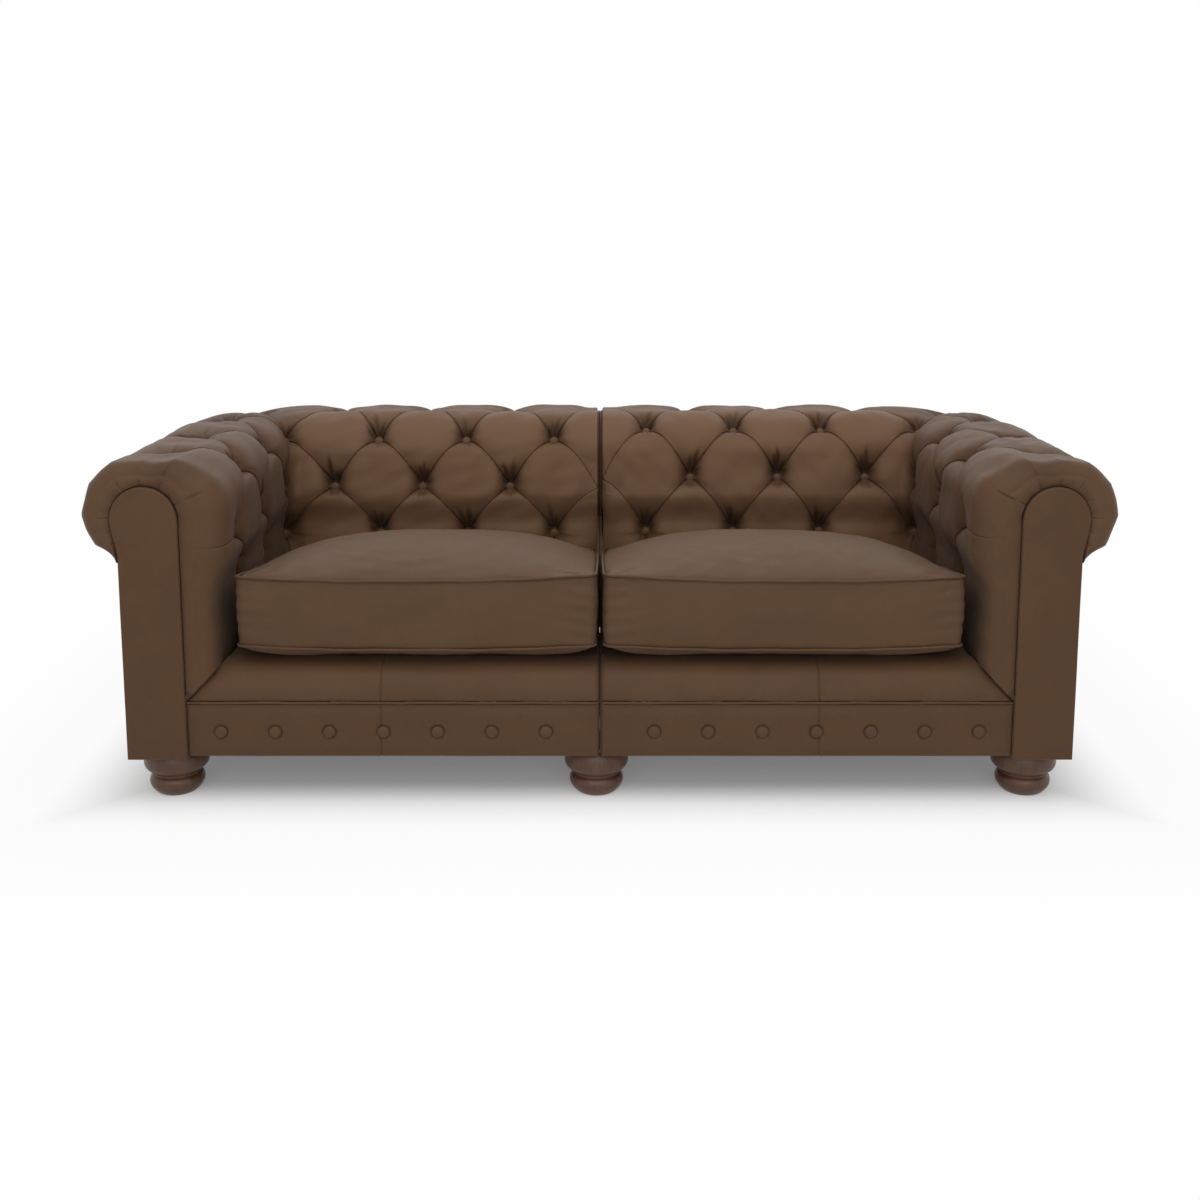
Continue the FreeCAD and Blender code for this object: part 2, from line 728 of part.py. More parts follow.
def tuft_buttons(rows):
    """One button at each crossing of the pleats, facing out of the padding."""
    buttons = []
    places = [(c, r) for c in range(1, 13) for r in range(4) if (c + r) % 2 == 0]
    places.append((int(CORNER_COLUMN), 0))
    for column, row in places:
        base, out = path_frame(column + (0.003 if column == CORNER_COLUMN else 0))
        o, z, out_o, out_z = section_point(row_length(row, rows), lean_share(column))
        sink = TUFT_DEPTH - 4.0
        centre = base + out * (o - out_o * sink) + Vector(0, 0, z - out_z * sink)
        facing = out * out_o + Vector(0, 0, out_z)
        button = dome(BUTTON_R, 8.0, 2.0)
        button.Placement = FreeCAD.Placement(
            centre, FreeCAD.Rotation(Vector(0, 0, 1), facing)
        )
        buttons.append(button)
    return buttons


def facing():
    return board_on_arm(keyhole(FACING_R, STEM_O + 1, PANEL_O, HEM_Z, 3), FRONT, FACING_T)


def outside_covers():
    """Leather on board outside the arm and the back, meeting on the corner's curve."""
    r_in, r_out, top = PANEL_O - 5 + CORNER_R, PANEL_O + CORNER_R, 545.0
    arm = along_arm(PANEL_O - 5, PANEL_O, HEM_Z, top, FRONT + FACING_T + 1)
    arm = arm.fuse(ring(r_in, r_out, HEM_Z, top, 45.1, 44.9))
    back = along_back(PANEL_O - 5, PANEL_O, HEM_Z, top, END_X)
    back = back.fuse(ring(r_in, r_out, HEM_Z, top, 0, 44.9))
    return arm.removeSplitter(), back.removeSplitter()


def seam_panel():
    """The flat cover on the end of a section, where the other section stands against it."""
    y0, back_o, inset = BORDER_Y + 5.3, PANEL_O - 5.3, 1.5
    bend, r = SHOULDER_R - inset, ROLL_R - inset
    top = HEIGHT - inset
    foot_o, low = -BACK_LEAN * (SHOULDER_Z - DECK_TOP) + TUCK_IN, DECK_TOP - 1

    def at(o, z):
        return Vector(0, INNER_Y + o, z)

    def turned(centre_o, centre_z, radius, degrees):
        a = math.radians(degrees)
        return at(centre_o + radius * math.sin(a), centre_z + radius * math.cos(a))

    under = at(back_o, 550.0)
    roll_front = Vector(0, y0, ROLL_BOTTOM)
    roll_mid = Vector(0, y0 + DECK_ROLL * 0.29, ROLL_BOTTOM + (low - ROLL_BOTTOM) * 0.71)
    roll_back = Vector(0, y0 + DECK_ROLL, low)
    side = turned(SHOULDER_R, SHOULDER_Z, bend, -90)
    edges = [
        Part.LineSegment(Vector(0, y0, FRAME_Z), at(back_o, FRAME_Z)).toShape(),
        Part.LineSegment(at(back_o, FRAME_Z), under).toShape(),
        Part.LineSegment(under, turned(ROLL_O, ROLL_Z, r, 150)).toShape(),
        line_or_arc(*[turned(ROLL_O, ROLL_Z, r, a) for a in (150, 75, 0)]),
        Part.LineSegment(at(ROLL_O, top), at(SHOULDER_R, top)).toShape(),
        line_or_arc(*[turned(SHOULDER_R, SHOULDER_Z, bend, a) for a in (0, -45, -90)]),
        Part.LineSegment(side, at(foot_o, low)).toShape(),
        Part.LineSegment(at(foot_o, low), roll_back).toShape(),
        line_or_arc(roll_back, roll_mid, roll_front),
        Part.LineSegment(roll_front, Vector(0, y0, FRAME_Z)).toShape(),
    ]
    panel = Part.Face(Part.Wire(edges)).extrude(Vector(END_PANEL_T, 0, 0))
    panel.translate(Vector(-FAR_X, 0, 0))
    return panel


def dust_cover():
    """Black cloth under the frame, holed where the feet bolt on."""
    z0, z1, o = FOOT_H + PLATE_T, FRAME_Z, PANEL_O - 6
    cloth = box(-INNER_X - o, -FAR_X, FRONT + FACING_T + 2, CORNER_Y, z0, z1)
    cloth = cloth.fuse(box(-CORNER_X, -FAR_X, CORNER_Y, INNER_Y + o, z0, z1))
    cloth = cloth.fuse(
        Part.makeCylinder(o + CORNER_R, z1 - z0, Vector(-CORNER_X, CORNER_Y, z0))
    )
    for x, y in CORNER_FEET + PLATE_SCREWS:
        cloth = cloth.cut(cylinder(BOLT_R + 2, 10, x, y, z0 - 4))
    return cloth.removeSplitter()


# Feet and what holds them


def bun_foot(x, y):
    """A turned foot: a wide bun, two beads at the neck, a smaller bun and a flat base."""

    def at(r, z):
        return Vector(r, 0, z)

    edges = [
        Part.LineSegment(at(0, 0), at(40, 0)).toShape(),
        Part.Arc(at(40, 0), at(57, 22), at(50, 42)).toShape(),
        Part.LineSegment(at(50, 42), at(46, 45)).toShape(),
        Part.Arc(at(46, 45), at(49, 48.5), at(46, 52)).toShape(),
        Part.Arc(at(46, 52), at(51, 56), at(49, 60)).toShape(),
        Part.Arc(at(49, 60), at(68, 82), at(60, 104)).toShape(),
        Part.LineSegment(at(60, 104), at(56, FOOT_H)).toShape(),
        Part.LineSegment(at(56, FOOT_H), at(0, FOOT_H)).toShape(),
        Part.LineSegment(at(0, FOOT_H), at(0, 0)).toShape(),
    ]
    foot = Part.Face(Part.Wire(edges)).revolve(Vector(0, 0, 0), Vector(0, 0, 1), 360)
    foot = foot.cut(cylinder(BOLT_R + 0.05, 50, 0, 0, FOOT_H - 45))
    foot.translate(Vector(x, y, 0))
    return foot


def corner_fixings(x, y):
    """A corner foot's plate, hanger bolt and the flanged nut on top of the block."""
    plate = box(x - 48, x + 48, y - 48, y + 48, FOOT_H, FOOT_H + PLATE_T)
    plate = plate.cut(cylinder(BOLT_R + 0.05, 10, x, y, FOOT_H - 3))
    bolt = cylinder(BOLT_R, 96, x, y, FOOT_H - 40)
    nut_z = FRAME_Z + BLOCK_H
    nut = cylinder(10, 2, x, y, nut_z).fuse(cylinder(BOLT_R + 2, 16, x, y, nut_z - 16))
    nut = nut.cut(cylinder(BOLT_R + 0.05, 40, x, y, nut_z - 20))
    return [plate, bolt, nut]


def centre_fixings():
    """The wide plates of the centre feet, each on a stud, screwed up under the left section."""
    pieces = []
    for y in (FOOT_Y, REAR_FOOT_Y):
        x = CENTRE_FOOT_X
        plate = box(x - 62, x + 62, y - 60, y + 60, FOOT_H, FOOT_H + PLATE_T - 0.4)
        pieces.append(plate.fuse(cylinder(BOLT_R, 41, x, y, FOOT_H - 40)).removeSplitter())
    for n, (x, y) in enumerate(PLATE_SCREWS):
        screw = cylinder(SCREW_R, 36, x, y, FOOT_H)
        pieces.append(screw)
        pieces[n // 2] = pieces[n // 2].cut(cylinder(SCREW_R + 0.05, 10, x, y, FOOT_H - 2))
    return pieces


# Connectors between the two sections

CONNECTOR_PLACES = (FRONT + 200.0, FRONT + 560.0)


def receiver(y):
    """Pocket of pressed steel on the left section's end, open at the top."""
    plate = box(-END_X, -2.5, y - 30, y + 30, 140, 200)
    sides = [box(-2.5, 0.9, y + s * 30, y + s * 22, 140, 200) for s in (-1, 1)]
    strap = box(0.9, 2.4, y - 30, y + 30, 140, 200)
    return plate.fuse(sides[0]).fuse(sides[1]).fuse(strap).removeSplitter()


def hook(y):
    """Tongue on the right section's end that drops into the pocket."""
    tongue = box(-1.9, 0.3, y - 20, y + 20, 150, 212)
    bridge = box(-1.9, END_X, y - 20, y + 20, 203, 212)
    plate = box(2.5, END_X, y - 30, y + 30, 203, 226)
    return tongue.fuse(bridge).fuse(plate).removeSplitter()


def compound(shapes):
    return Part.makeCompound(list(shapes))


def section_pieces(side):
    """Every piece of one section, modelled as the left one, by name."""
    rows = ROWS[side]
    seat_rails, side_rails, cross_rails = base_rails()
    post, arm_ribs, back_ribs, end_post = scroll_ribs()
    foam, deck_cover = deck()
    outside_arm, outside_back = outside_covers()
    fixings = [solid for x, y in CORNER_FEET for solid in corner_fixings(x, y)]
    if side == "left":
        fixings += centre_fixings()
        for x, y in PLATE_SCREWS:
            cross_rails = [
                rail.cut(cylinder(SCREW_R + 0.05, 40, x, y, FRAME_Z - 5)) for rail in cross_rails
            ]
    arm_pad = inside_arm(rows).cut(mitre(-0.3, Vector(150, 0, 0)))
    return {
        "seat_rails": compound(seat_rails),
        "side_rails": compound(side_rails),
        "cross_rails": compound(cross_rails),
        "roll_rails": compound(roll_rail()),
        "arm_front_post": post,
        "scroll_ribs": compound(arm_ribs + back_ribs + [end_post]),
        "corner_blocks": compound(corner_blocks()),
        "seat_springs": compound(sinuous_spring(-x) for x in SPRING_PLACES),
        "spring_clips": compound(spring_clips()),
        "deck_foam": foam,
        "deck_cover": deck_cover,
        "deck_front_roll": deck_front_roll(),
        "front_border": front_border(),
        "border_piping": border_piping(),
        "border_buttons": compound(border_buttons()),
        "inside_arm": arm_pad,
        "inside_back": inside_back(rows),
        "tuft_buttons": compound(tuft_buttons(rows)),
        "arm_facing": facing(),
        "outside_arm": outside_arm,
        "outside_back": outside_back,
        "seam_panel": seam_panel(),
        "dust_cover": dust_cover(),
        "feet": compound(bun_foot(x, y) for x, y in CORNER_FEET),
        "foot_fixings": compound(fixings),
        "cushion_cover": cushion(0.0).cut(cushion(COVER_T)),
        "cushion_core": cushion(COVER_T + 0.5),
        "cushion_piping": compound(cushion_piping()),
    }


def main():
    os.makedirs("parts", exist_ok=True)
    shapes = {}
    for side in ("left", "right"):
        for name, shape in section_pieces(side).items():
            if side == "right":
                shape = shape.mirror(Vector(0, 0, 0), Vector(1, 0, 0))
            shapes[f"{side}_{name}"] = shape
    shapes["centre_feet"] = compound(bun_foot(CENTRE_FOOT_X, y) for y in (FOOT_Y, REAR_FOOT_Y))
    shapes["connector_receivers"] = compound(receiver(y) for y in CONNECTOR_PLACES)
    shapes["connector_hooks"] = compound(hook(y) for y in CONNECTOR_PLACES)
    for name, shape in shapes.items():
        solids = shape.Solids
        good = all(s.isValid() and s.isClosed() and s.Volume > 0 for s in solids)
        print(f"{name}: {len(solids)} solids, {shape.Volume / 1e3:.1f} cm3{'' if good else ' BAD'}")
        shape.exportStep(f"parts/{name}.step")


main()
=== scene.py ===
"""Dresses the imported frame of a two-section leather chesterfield.

Shapes are worked out in millimetres for the left section (x < 0) and mirrored for the right
one. The leather of the back and the arms is told by a half column along the path from the seam
round the corner to the arm's front, and by a row from the top of the roll down to the seat.
"""

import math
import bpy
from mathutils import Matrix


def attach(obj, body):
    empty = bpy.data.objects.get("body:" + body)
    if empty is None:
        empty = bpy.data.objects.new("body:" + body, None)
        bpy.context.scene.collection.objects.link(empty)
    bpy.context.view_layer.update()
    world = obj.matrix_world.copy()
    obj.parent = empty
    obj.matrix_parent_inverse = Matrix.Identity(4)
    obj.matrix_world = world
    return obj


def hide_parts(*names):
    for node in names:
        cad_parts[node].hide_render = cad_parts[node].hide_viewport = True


bl_info = {
    "name": "Chesterfield sofa",
    "version": (1, 0, 0),
    "blender": (4, 5, 0),
    "location": "3D View > Sidebar > Sofa",
    "description": "Builds the leather, cushions, feet and stage of a chesterfield sofa",
    "category": "Object",
}

import bpy
import numpy as np
from mathutils import Vector
from mathutils.kdtree import KDTree

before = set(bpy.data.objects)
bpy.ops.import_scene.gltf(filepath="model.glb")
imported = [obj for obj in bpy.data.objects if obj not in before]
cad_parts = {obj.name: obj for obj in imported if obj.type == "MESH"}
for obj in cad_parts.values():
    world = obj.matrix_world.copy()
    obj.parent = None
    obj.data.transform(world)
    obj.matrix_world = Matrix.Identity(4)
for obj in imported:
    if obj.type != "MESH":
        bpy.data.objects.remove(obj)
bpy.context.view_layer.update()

MM = 0.001
SIDES = ("left", "right")

# Overall size and the cross-section of arm and back, the same as the source of the solids
FRONT = -487.5
HEIGHT = 760.0
INNER_X = 795.0
INNER_Y = FRONT + 670.0
SHOULDER_R = 106.0
SHOULDER_Z = HEIGHT - SHOULDER_R
ROLL_R = 111.0
ROLL_Z = HEIGHT - ROLL_R
ROLL_O = 194.0
PANEL_O = 227.0
CORNER_R = 25.0
CORNER_X = INNER_X - CORNER_R
CORNER_Y = INNER_Y - CORNER_R
PAD_BOTTOM = 240.0
BACK_LEAN = math.tan(math.radians(5.0))
TUCK_IN = 30.0
TUCK_TOP = 560.0
TUCK_SPAN = 90.0

# Tufting: heights over the buttons, then how sharp the edge and how long the fade of a pleat is
TUFT_DEPTH = 36.0
PLEAT_RISE = 31.5
OVER_RISE = 27.0
AHEAD_RISE = 33.0
SEAM_FILL = 0.88
PILLOW_EDGE = 0.1
PLEAT_FADE = 0.15
PLEAT_START = 0.35
PLEAT_SPACING = 227.0
AHEAD_SPACING = 280.0
CORNER_COLUMN = 7
LAST_COLUMN = 12
BACK_PITCH = 113.5
SEAM_COLUMN = 6.5
ARM_PITCH = 126.0
ROWS = {"left": (622.0, 464.0, 331.0, 204.0), "right": (640.0, 500.0, 354.0, 208.0)}
DIAMOND_SIDE = 180.0
# Distance along the leather at button level, from the seam, at some half columns
PATH_COLUMNS = (0, 6, 7, 8, 12, 14)
PATH_PLACES = (0, 681.0, 811.4, 859.3, 1363.3, 1615.3)

# Arm front
ARCH_O = 168.5
ARCH_Z = 634.0
FACING_R = 72.0
EDGE_R = 72.8
STEM_O = 97.0
FACING_T = 18.0
PAD_SHIFT = 3.5
MITRE_SUM = 331.0
BULLNOSE = 75.0
BULLNOSE_START = 12.492
BULLNOSE_SPAN = 0.8
BULLNOSE_TURN = 30.0
FRONT_DOME = 4.0

# Base
HEM_Z = 110.0
FACING_HEM = 105.0
BORDER_TOP = 228.0
ROLL_BOTTOM = 234.0
DECK_TOP = 312.0
DECK_ROLL = 77.0
BORDER_Y = FRONT + 8.0
BORDER_LEFT = -INNER_X - STEM_O
BORDER_BUTTON_Z = 166.0
BORDER_BUTTON_PITCH = 117.0
STITCH_LOW = 120.0
STITCH_HIGH = 221.0
COVER_TOP = 545.0
COVER_BOTTOM = 116.0
DUST_CLOTH_Z = 112.4
SEAM_X = 473.0
PAD_END_X = 1.5
HIDDEN_END_X = 3.0
CORD_CLEARANCE = 3.2
END_X = 4.0
SEAM_STEP_Y = 318.0
SEAM_CORD_R = 3.2

# Feet
FRONT_FOOT_Y = FRONT + 97.0
REAR_FOOT_Y = FRONT + 790.0
CORNER_FEET = ((-945.0, FRONT_FOOT_Y), (-860.0, REAR_FOOT_Y))
MIDDLE_FEET = ((-8.0, FRONT_FOOT_Y), (-8.0, REAR_FOOT_Y))


def smooth(t):
    t = np.clip(t, 0.0, 1.0)
    return t * t * (3 - 2 * t)


def gauss(x):
    return np.exp(-x * x)


def srgb(red, green, blue):
    """A colour as it is seen, 0 to 255, in Blender's linear numbers."""

    def linear(c):
        c /= 255
        return c / 12.92 if c <= 0.04045 else ((c + 0.055) / 1.055) ** 2.4

    return linear(red), linear(green), linear(blue)


# ---------------------------------------------------------------- settings


class SofaSizes(bpy.types.PropertyGroup):
    crease_depth: bpy.props.FloatProperty(
        name="Crease depth",
        description="How deep the fold line of a pleat is pressed in",
        default=0.004,
        unit="LENGTH",
    )
    wrinkle_depth: bpy.props.FloatProperty(
        name="Wrinkle depth",
        description="Depth of the short wrinkles that fan out from each button",
        default=0.008,
        unit="LENGTH",
    )
    button_radius: bpy.props.FloatProperty(
        name="Tuft button radius",
        description="Radius of the covered buttons of the back and arms",
        default=0.011,
        unit="LENGTH",
    )
    border_button_radius: bpy.props.FloatProperty(
        name="Border button radius",
        description="Radius of the covered buttons of the front border",
        default=0.013,
        unit="LENGTH",
    )
    piping_radius: bpy.props.FloatProperty(
        name="Piping radius",
        description="Radius of the covered cord in the seams",
        default=0.0027,
        unit="LENGTH",
    )
    cushion_crown: bpy.props.FloatProperty(
        name="Cushion crown",
        description="How far a seat cushion's middle stands over its seam",
        default=0.088,
        unit="LENGTH",
    )


class SofaColours(bpy.types.PropertyGroup):
    leather: bpy.props.FloatVectorProperty(
        name="Leather",
        description="Colour of the leather of arms, back and border",
        subtype="COLOR",
        default=srgb(92, 66, 44),
    )
    cushion_leather: bpy.props.FloatVectorProperty(
        name="Cushion leather",
        description="Colour of the seat cushions",
        subtype="COLOR",
        default=srgb(92, 67, 45),
    )
    foot_wood: bpy.props.FloatVectorProperty(
        name="Feet",
        description="Colour of the stained feet",
        subtype="COLOR",
        default=srgb(92, 61, 42),
    )
    frame_wood: bpy.props.FloatVectorProperty(
        name="Frame wood",
        description="Colour of the bare frame timber",
        subtype="COLOR",
        default=srgb(190, 152, 108),
    )
    cloth: bpy.props.FloatVectorProperty(
        name="Cloth",
        description="Colour of the dust cloth under the frame",
        subtype="COLOR",
        default=srgb(30, 29, 28),
    )
    foam: bpy.props.FloatVectorProperty(
        name="Foam",
        description="Colour of the foam inside",
        subtype="COLOR",
        default=srgb(226, 212, 176),
    )
    steel: bpy.props.FloatVectorProperty(
        name="Steel",
        description="Colour of springs, bolts and hooks",
        subtype="COLOR",
        default=srgb(176, 176, 172),
    )


# ---------------------------------------------------------------- materials


def add_node(tree, kind, inputs=None, **settings):
    made = tree.nodes.new(kind)
    for key, value in settings.items():
        setattr(made, key, value)
    for key, value in (inputs or {}).items():
        if isinstance(value, bpy.types.NodeSocket):
            tree.links.new(value, made.inputs[key])
        else:
            made.inputs[key].default_value = value
    return made


def new_material(name, **surface):
    """A material with a bare shader, and its tree, shader and object coordinates."""
    material = bpy.data.materials.new(name)
    material.use_nodes = True
    tree = material.node_tree
    tree.nodes.clear()
    shader = add_node(tree, "ShaderNodeBsdfPrincipled", surface)
    end = add_node(tree, "ShaderNodeOutputMaterial")
    tree.links.new(shader.outputs[0], end.inputs["Surface"])
    place = add_node(tree, "ShaderNodeTexCoord").outputs["Object"]
    return material, tree, shader, place


def ramp(tree, value, low, high, out_low=0.0, out_high=1.0):
    return add_node(
        tree,
        "ShaderNodeMapRange",
        {"Value": value, "From Min": low, "From Max": high, "To Min": out_low, "To Max": out_high},
        interpolation_type="SMOOTHSTEP",
    ).outputs["Result"]


def mixed(tree, factor, first, second, blend="MIX"):
    """Two colours mixed; first and second are colours or sockets."""
    made = tree.nodes.new("ShaderNodeMix")
    made.data_type = "RGBA"
    made.blend_type = blend
    for slot, value in ((0, factor), (6, first), (7, second)):
        if isinstance(value, bpy.types.NodeSocket):
            tree.links.new(value, made.inputs[slot])
        else:
            made.inputs[slot].default_value = value
    return made.outputs[2]


def tone(colour, share):
    """The colour made lighter or darker, with an alpha."""
    return (*(min(1.0, c * share) for c in colour), 1.0)


def noise(tree, place, scale, detail=3.0, rough=0.55, distortion=0.0, seed=0.0):
    return add_node(
        tree,
        "ShaderNodeTexNoise",
        {
            "Vector": place,
            "W": seed,
            "Scale": scale,
            "Detail": detail,
            "Roughness": rough,
            "Distortion": distortion,
        },
        noise_dimensions="4D",
    ).outputs["Fac"]


def math_node(tree, operation, first, second):
    made = add_node(tree, "ShaderNodeMath", operation=operation)
    for slot, value in enumerate((first, second)):
        if isinstance(value, bpy.types.NodeSocket):
            tree.links.new(value, made.inputs[slot])
        else:
            made.inputs[slot].default_value = value
    return made.outputs[0]


def leather_material(name, colour, seed=0.0, crown_wear=0.22):
    """Matte waxed leather: mottled, finely pebbled, faded on the crowns, with painted shade
    darkening the creases and pockets.
    """
    shine = {"Specular IOR Level": 0.2, "IOR": 1.45, "Sheen Weight": 0.05, "Sheen Roughness": 0.6}
    material, tree, shader, place = new_material(name, **shine)
    crown = add_node(tree, "ShaderNodeAttribute", attribute_name="crown").outputs["Fac"]
    cloudy = noise(tree, place, 5.5, 5.0, 0.6, 0.4, seed)
    blotchy = noise(tree, place, 26.0, 6.0, 0.65, 0.2, seed + 3)
    fine = noise(tree, place, 190.0, 4.0, 0.7, 0.0, seed + 5)
    warm = (colour[0] * 1.02, colour[1], colour[2] * 0.98)
    cool = (colour[0] * 0.985, colour[1], colour[2])
    base = mixed(tree, ramp(tree, cloudy, 0.32, 0.68), tone(cool, 0.93), tone(warm, 1.04))
    base = mixed(tree, ramp(tree, blotchy, 0.45, 0.75, 0.0, 0.4), base, tone(colour, 1.16))
    base = mixed(tree, ramp(tree, fine, 0.3, 0.7, 0.2, 0.0), base, tone(colour, 0.74))
    # scuffs: short pale rubs, all along one direction
    stretched = add_node(
        tree,
        "ShaderNodeMapping",
        {"Vector": place, "Scale": (1.0, 1.0, 3.2), "Rotation": (0.2, 0.5, 0.1)},
    ).outputs[0]
    scuff = noise(tree, stretched, 34.0, 7.0, 0.72, 1.2, seed + 9)
    base = mixed(tree, ramp(tree, scuff, 0.62, 0.72, 0.0, 0.22), base, tone(colour, 1.4))
    faded = ramp(tree, crown, 0.5, 1.0, 0.0, crown_wear)
    pale = (colour[0], colour[1] * 1.08, colour[2] * 1.25)
    base = mixed(tree, faded, base, tone(pale, 1.75))
    # painted shade: low crown values darken the colour to a warmer, more saturated brown in
    # creases, pockets, gaps and seams
    dark = ramp(tree, crown, 0.0, 0.6, 0.85, 0.0)
    deep = (colour[0] * 1.1, colour[1] * 0.95, colour[2] * 0.75)
    base = mixed(tree, dark, base, tone(deep, 0.44))
    tree.links.new(base, shader.inputs["Base Color"])
    even = ramp(tree, blotchy, 0.3, 0.7, 0.47, 0.57)
    rough = math_node(tree, "ADD", even, ramp(tree, scuff, 0.6, 0.72, 0.0, 0.08))
    tree.links.new(rough, shader.inputs["Roughness"])
    pebble = add_node(
        tree,
        "ShaderNodeTexVoronoi",
        {"Vector": place, "Scale": 520.0, "Randomness": 0.9},
        feature="DISTANCE_TO_EDGE",
    ).outputs["Distance"]
    pebble = ramp(tree, pebble, 0.0, 0.3)
    grain = add_node(
        tree, "ShaderNodeBump", {"Height": pebble, "Strength": 0.22, "Distance": 0.0005}
    ).outputs[0]
    crumple = noise(tree, place, 42.0, 5.0, 0.6, 0.8, seed + 13)
    bump = add_node(
        tree,
        "ShaderNodeBump",
        {"Height": crumple, "Strength": 0.35, "Distance": 0.002, "Normal": grain},
    ).outputs[0]
    tree.links.new(bump, shader.inputs["Normal"])
    return material


def wood_material(name, colour, along, seed=0.0, gloss=0.4, grain=60.0):
    """Timber with rings and pores drawn out along one axis (0 x, 1 y, 2 z)."""
    material, tree, shader, place = new_material(
        name, **{"Coat Weight": gloss * 0.5, "Coat Roughness": 0.25, "Specular IOR Level": 0.4}
    )
    scale = [1.0, 1.0, 1.0]
    scale[along] = 0.09
    drawn = add_node(tree, "ShaderNodeMapping", {"Vector": place, "Scale": scale}).outputs[0]
    rings = noise(tree, drawn, grain, 5.0, 0.62, 1.4, seed)
    pores = noise(tree, drawn, grain * 9, 3.0, 0.7, 0.0, seed + 2)
    patch = noise(tree, place, 14.0, 3.0, 0.5, 0.0, seed + 4)
    base = mixed(tree, ramp(tree, rings, 0.35, 0.65), tone(colour, 0.72), tone(colour, 1.18))
    base = mixed(tree, ramp(tree, pores, 0.35, 0.5, 0.55, 0.0), base, tone(colour, 0.5))
    base = mixed(tree, ramp(tree, patch, 0.4, 0.7, 0.0, 0.35), base, tone(colour, 1.3))
    tree.links.new(base, shader.inputs["Base Color"])
    tree.links.new(ramp(tree, rings, 0.3, 0.7, 0.34, 0.5), shader.inputs["Roughness"])
    bump = add_node(
        tree, "ShaderNodeBump", {"Height": pores, "Strength": 0.25, "Distance": 0.0004}
    ).outputs[0]
    tree.links.new(bump, shader.inputs["Normal"])
    return material


def metal_material(name, colour, rough=0.34):
    """Zinc-plated or oiled steel with faint blotches and drawing marks."""
    material, tree, shader, place = new_material(name, Metallic=1.0)
    spangle = noise(tree, place, 90.0, 4.0, 0.6, 0.5)
    base = mixed(tree, ramp(tree, spangle, 0.3, 0.7), tone(colour, 0.75), tone(colour, 1.1))
    tree.links.new(base, shader.inputs["Base Color"])
    tree.links.new(ramp(tree, spangle, 0.3, 0.7, rough, rough + 0.16), shader.inputs["Roughness"])
    bump = add_node(
        tree, "ShaderNodeBump", {"Height": spangle, "Strength": 0.1, "Distance": 0.0003}
    ).outputs[0]
    tree.links.new(bump, shader.inputs["Normal"])
    return material


def cloth_material(name, colour):
    """Thin non-woven cloth: pressed dots in rows over a felted ground."""
    material, tree, shader, place = new_material(name, **{"Sheen Weight": 0.2, "Roughness": 0.92})
    felt = noise(tree, place, 160.0, 6.0, 0.7)
    dots = add_node(
        tree, "ShaderNodeTexVoronoi", {"Vector": place, "Scale": 330.0, "Randomness": 0.0}
    ).outputs["Distance"]
    base = mixed(tree, ramp(tree, felt, 0.3, 0.7), tone(colour, 0.7), tone(colour, 1.5))
    base = mixed(tree, ramp(tree, dots, 0.1, 0.35, 0.5, 0.0), base, tone(colour, 0.5))
    tree.links.new(base, shader.inputs["Base Color"])
    bump = add_node(
        tree, "ShaderNodeBump", {"Height": dots, "Strength": 0.4, "Distance": 0.0006}
    ).outputs[0]
    tree.links.new(bump, shader.inputs["Normal"])
    return material


def foam_material(name, colour):
    """Open-cell foam: small dark cells and a slight yellowing."""
    material, tree, shader, place = new_material(name, Roughness=0.95)
    cells = add_node(tree, "ShaderNodeTexVoronoi", {"Vector": place, "Scale": 700.0})
    cells = cells.outputs["Distance"]
    aged = noise(tree, place, 9.0, 3.0)
    base = mixed(tree, ramp(tree, aged, 0.3, 0.7), tone(colour, 0.92), tone(colour, 1.05))
    base = mixed(tree, ramp(tree, cells, 0.2, 0.55, 0.35, 0.0), base, tone(colour, 0.55))
    tree.links.new(base, shader.inputs["Base Color"])
    bump = add_node(
        tree, "ShaderNodeBump", {"Height": cells, "Strength": 0.5, "Distance": 0.0006}
    ).outputs[0]
    tree.links.new(bump, shader.inputs["Normal"])
    return material


MATERIALS = {}


def material(key):
    """The material of a kind of piece, made when it is first asked for."""
    if key in MATERIALS:
        return MATERIALS[key]
    colours = bpy.context.scene.sofa_colours
    leather, cushion = tuple(colours.leather), tuple(colours.cushion_leather)
    foot, wood = tuple(colours.foot_wood), tuple(colours.frame_wood)
    makers = {
        "tufted_leather": lambda: leather_material("tufted_leather", leather, 1.0, 1.0),
        "panel_leather": lambda: leather_material("panel_leather", leather, 4.0, 0.0),
        "piping_leather": lambda: leather_material("piping_leather", leather, 7.0, 0.1),
        "button_leather": lambda: leather_material("button_leather", leather, 9.0, 0.2),
        "cushion_leather": lambda: leather_material("cushion_leather", cushion, 12.0, 0.15),
        "foot_wood": lambda: wood_material("foot_wood", foot, 2, 2.0, 0.25, 75.0),
        "frame_wood_x": lambda: wood_material("frame_wood_x", wood, 0, 5.0, 0.0),
        "frame_wood_y": lambda: wood_material("frame_wood_y", wood, 1, 6.0, 0.0),
        "frame_wood_z": lambda: wood_material("frame_wood_z", wood, 2, 7.0, 0.0),
        "dust_cloth": lambda: cloth_material("dust_cloth", tuple(colours.cloth)),
        "foam": lambda: foam_material("foam", tuple(colours.foam)),
        "spring_steel": lambda: metal_material("spring_steel", tone(colours.steel, 0.6)[:3], 0.4),
        "zinc_steel": lambda: metal_material("zinc_steel", tuple(colours.steel), 0.3),
    }
    MATERIALS[key] = makers[key]()
    return MATERIALS[key]


# ---------------------------------------------------------------- meshes


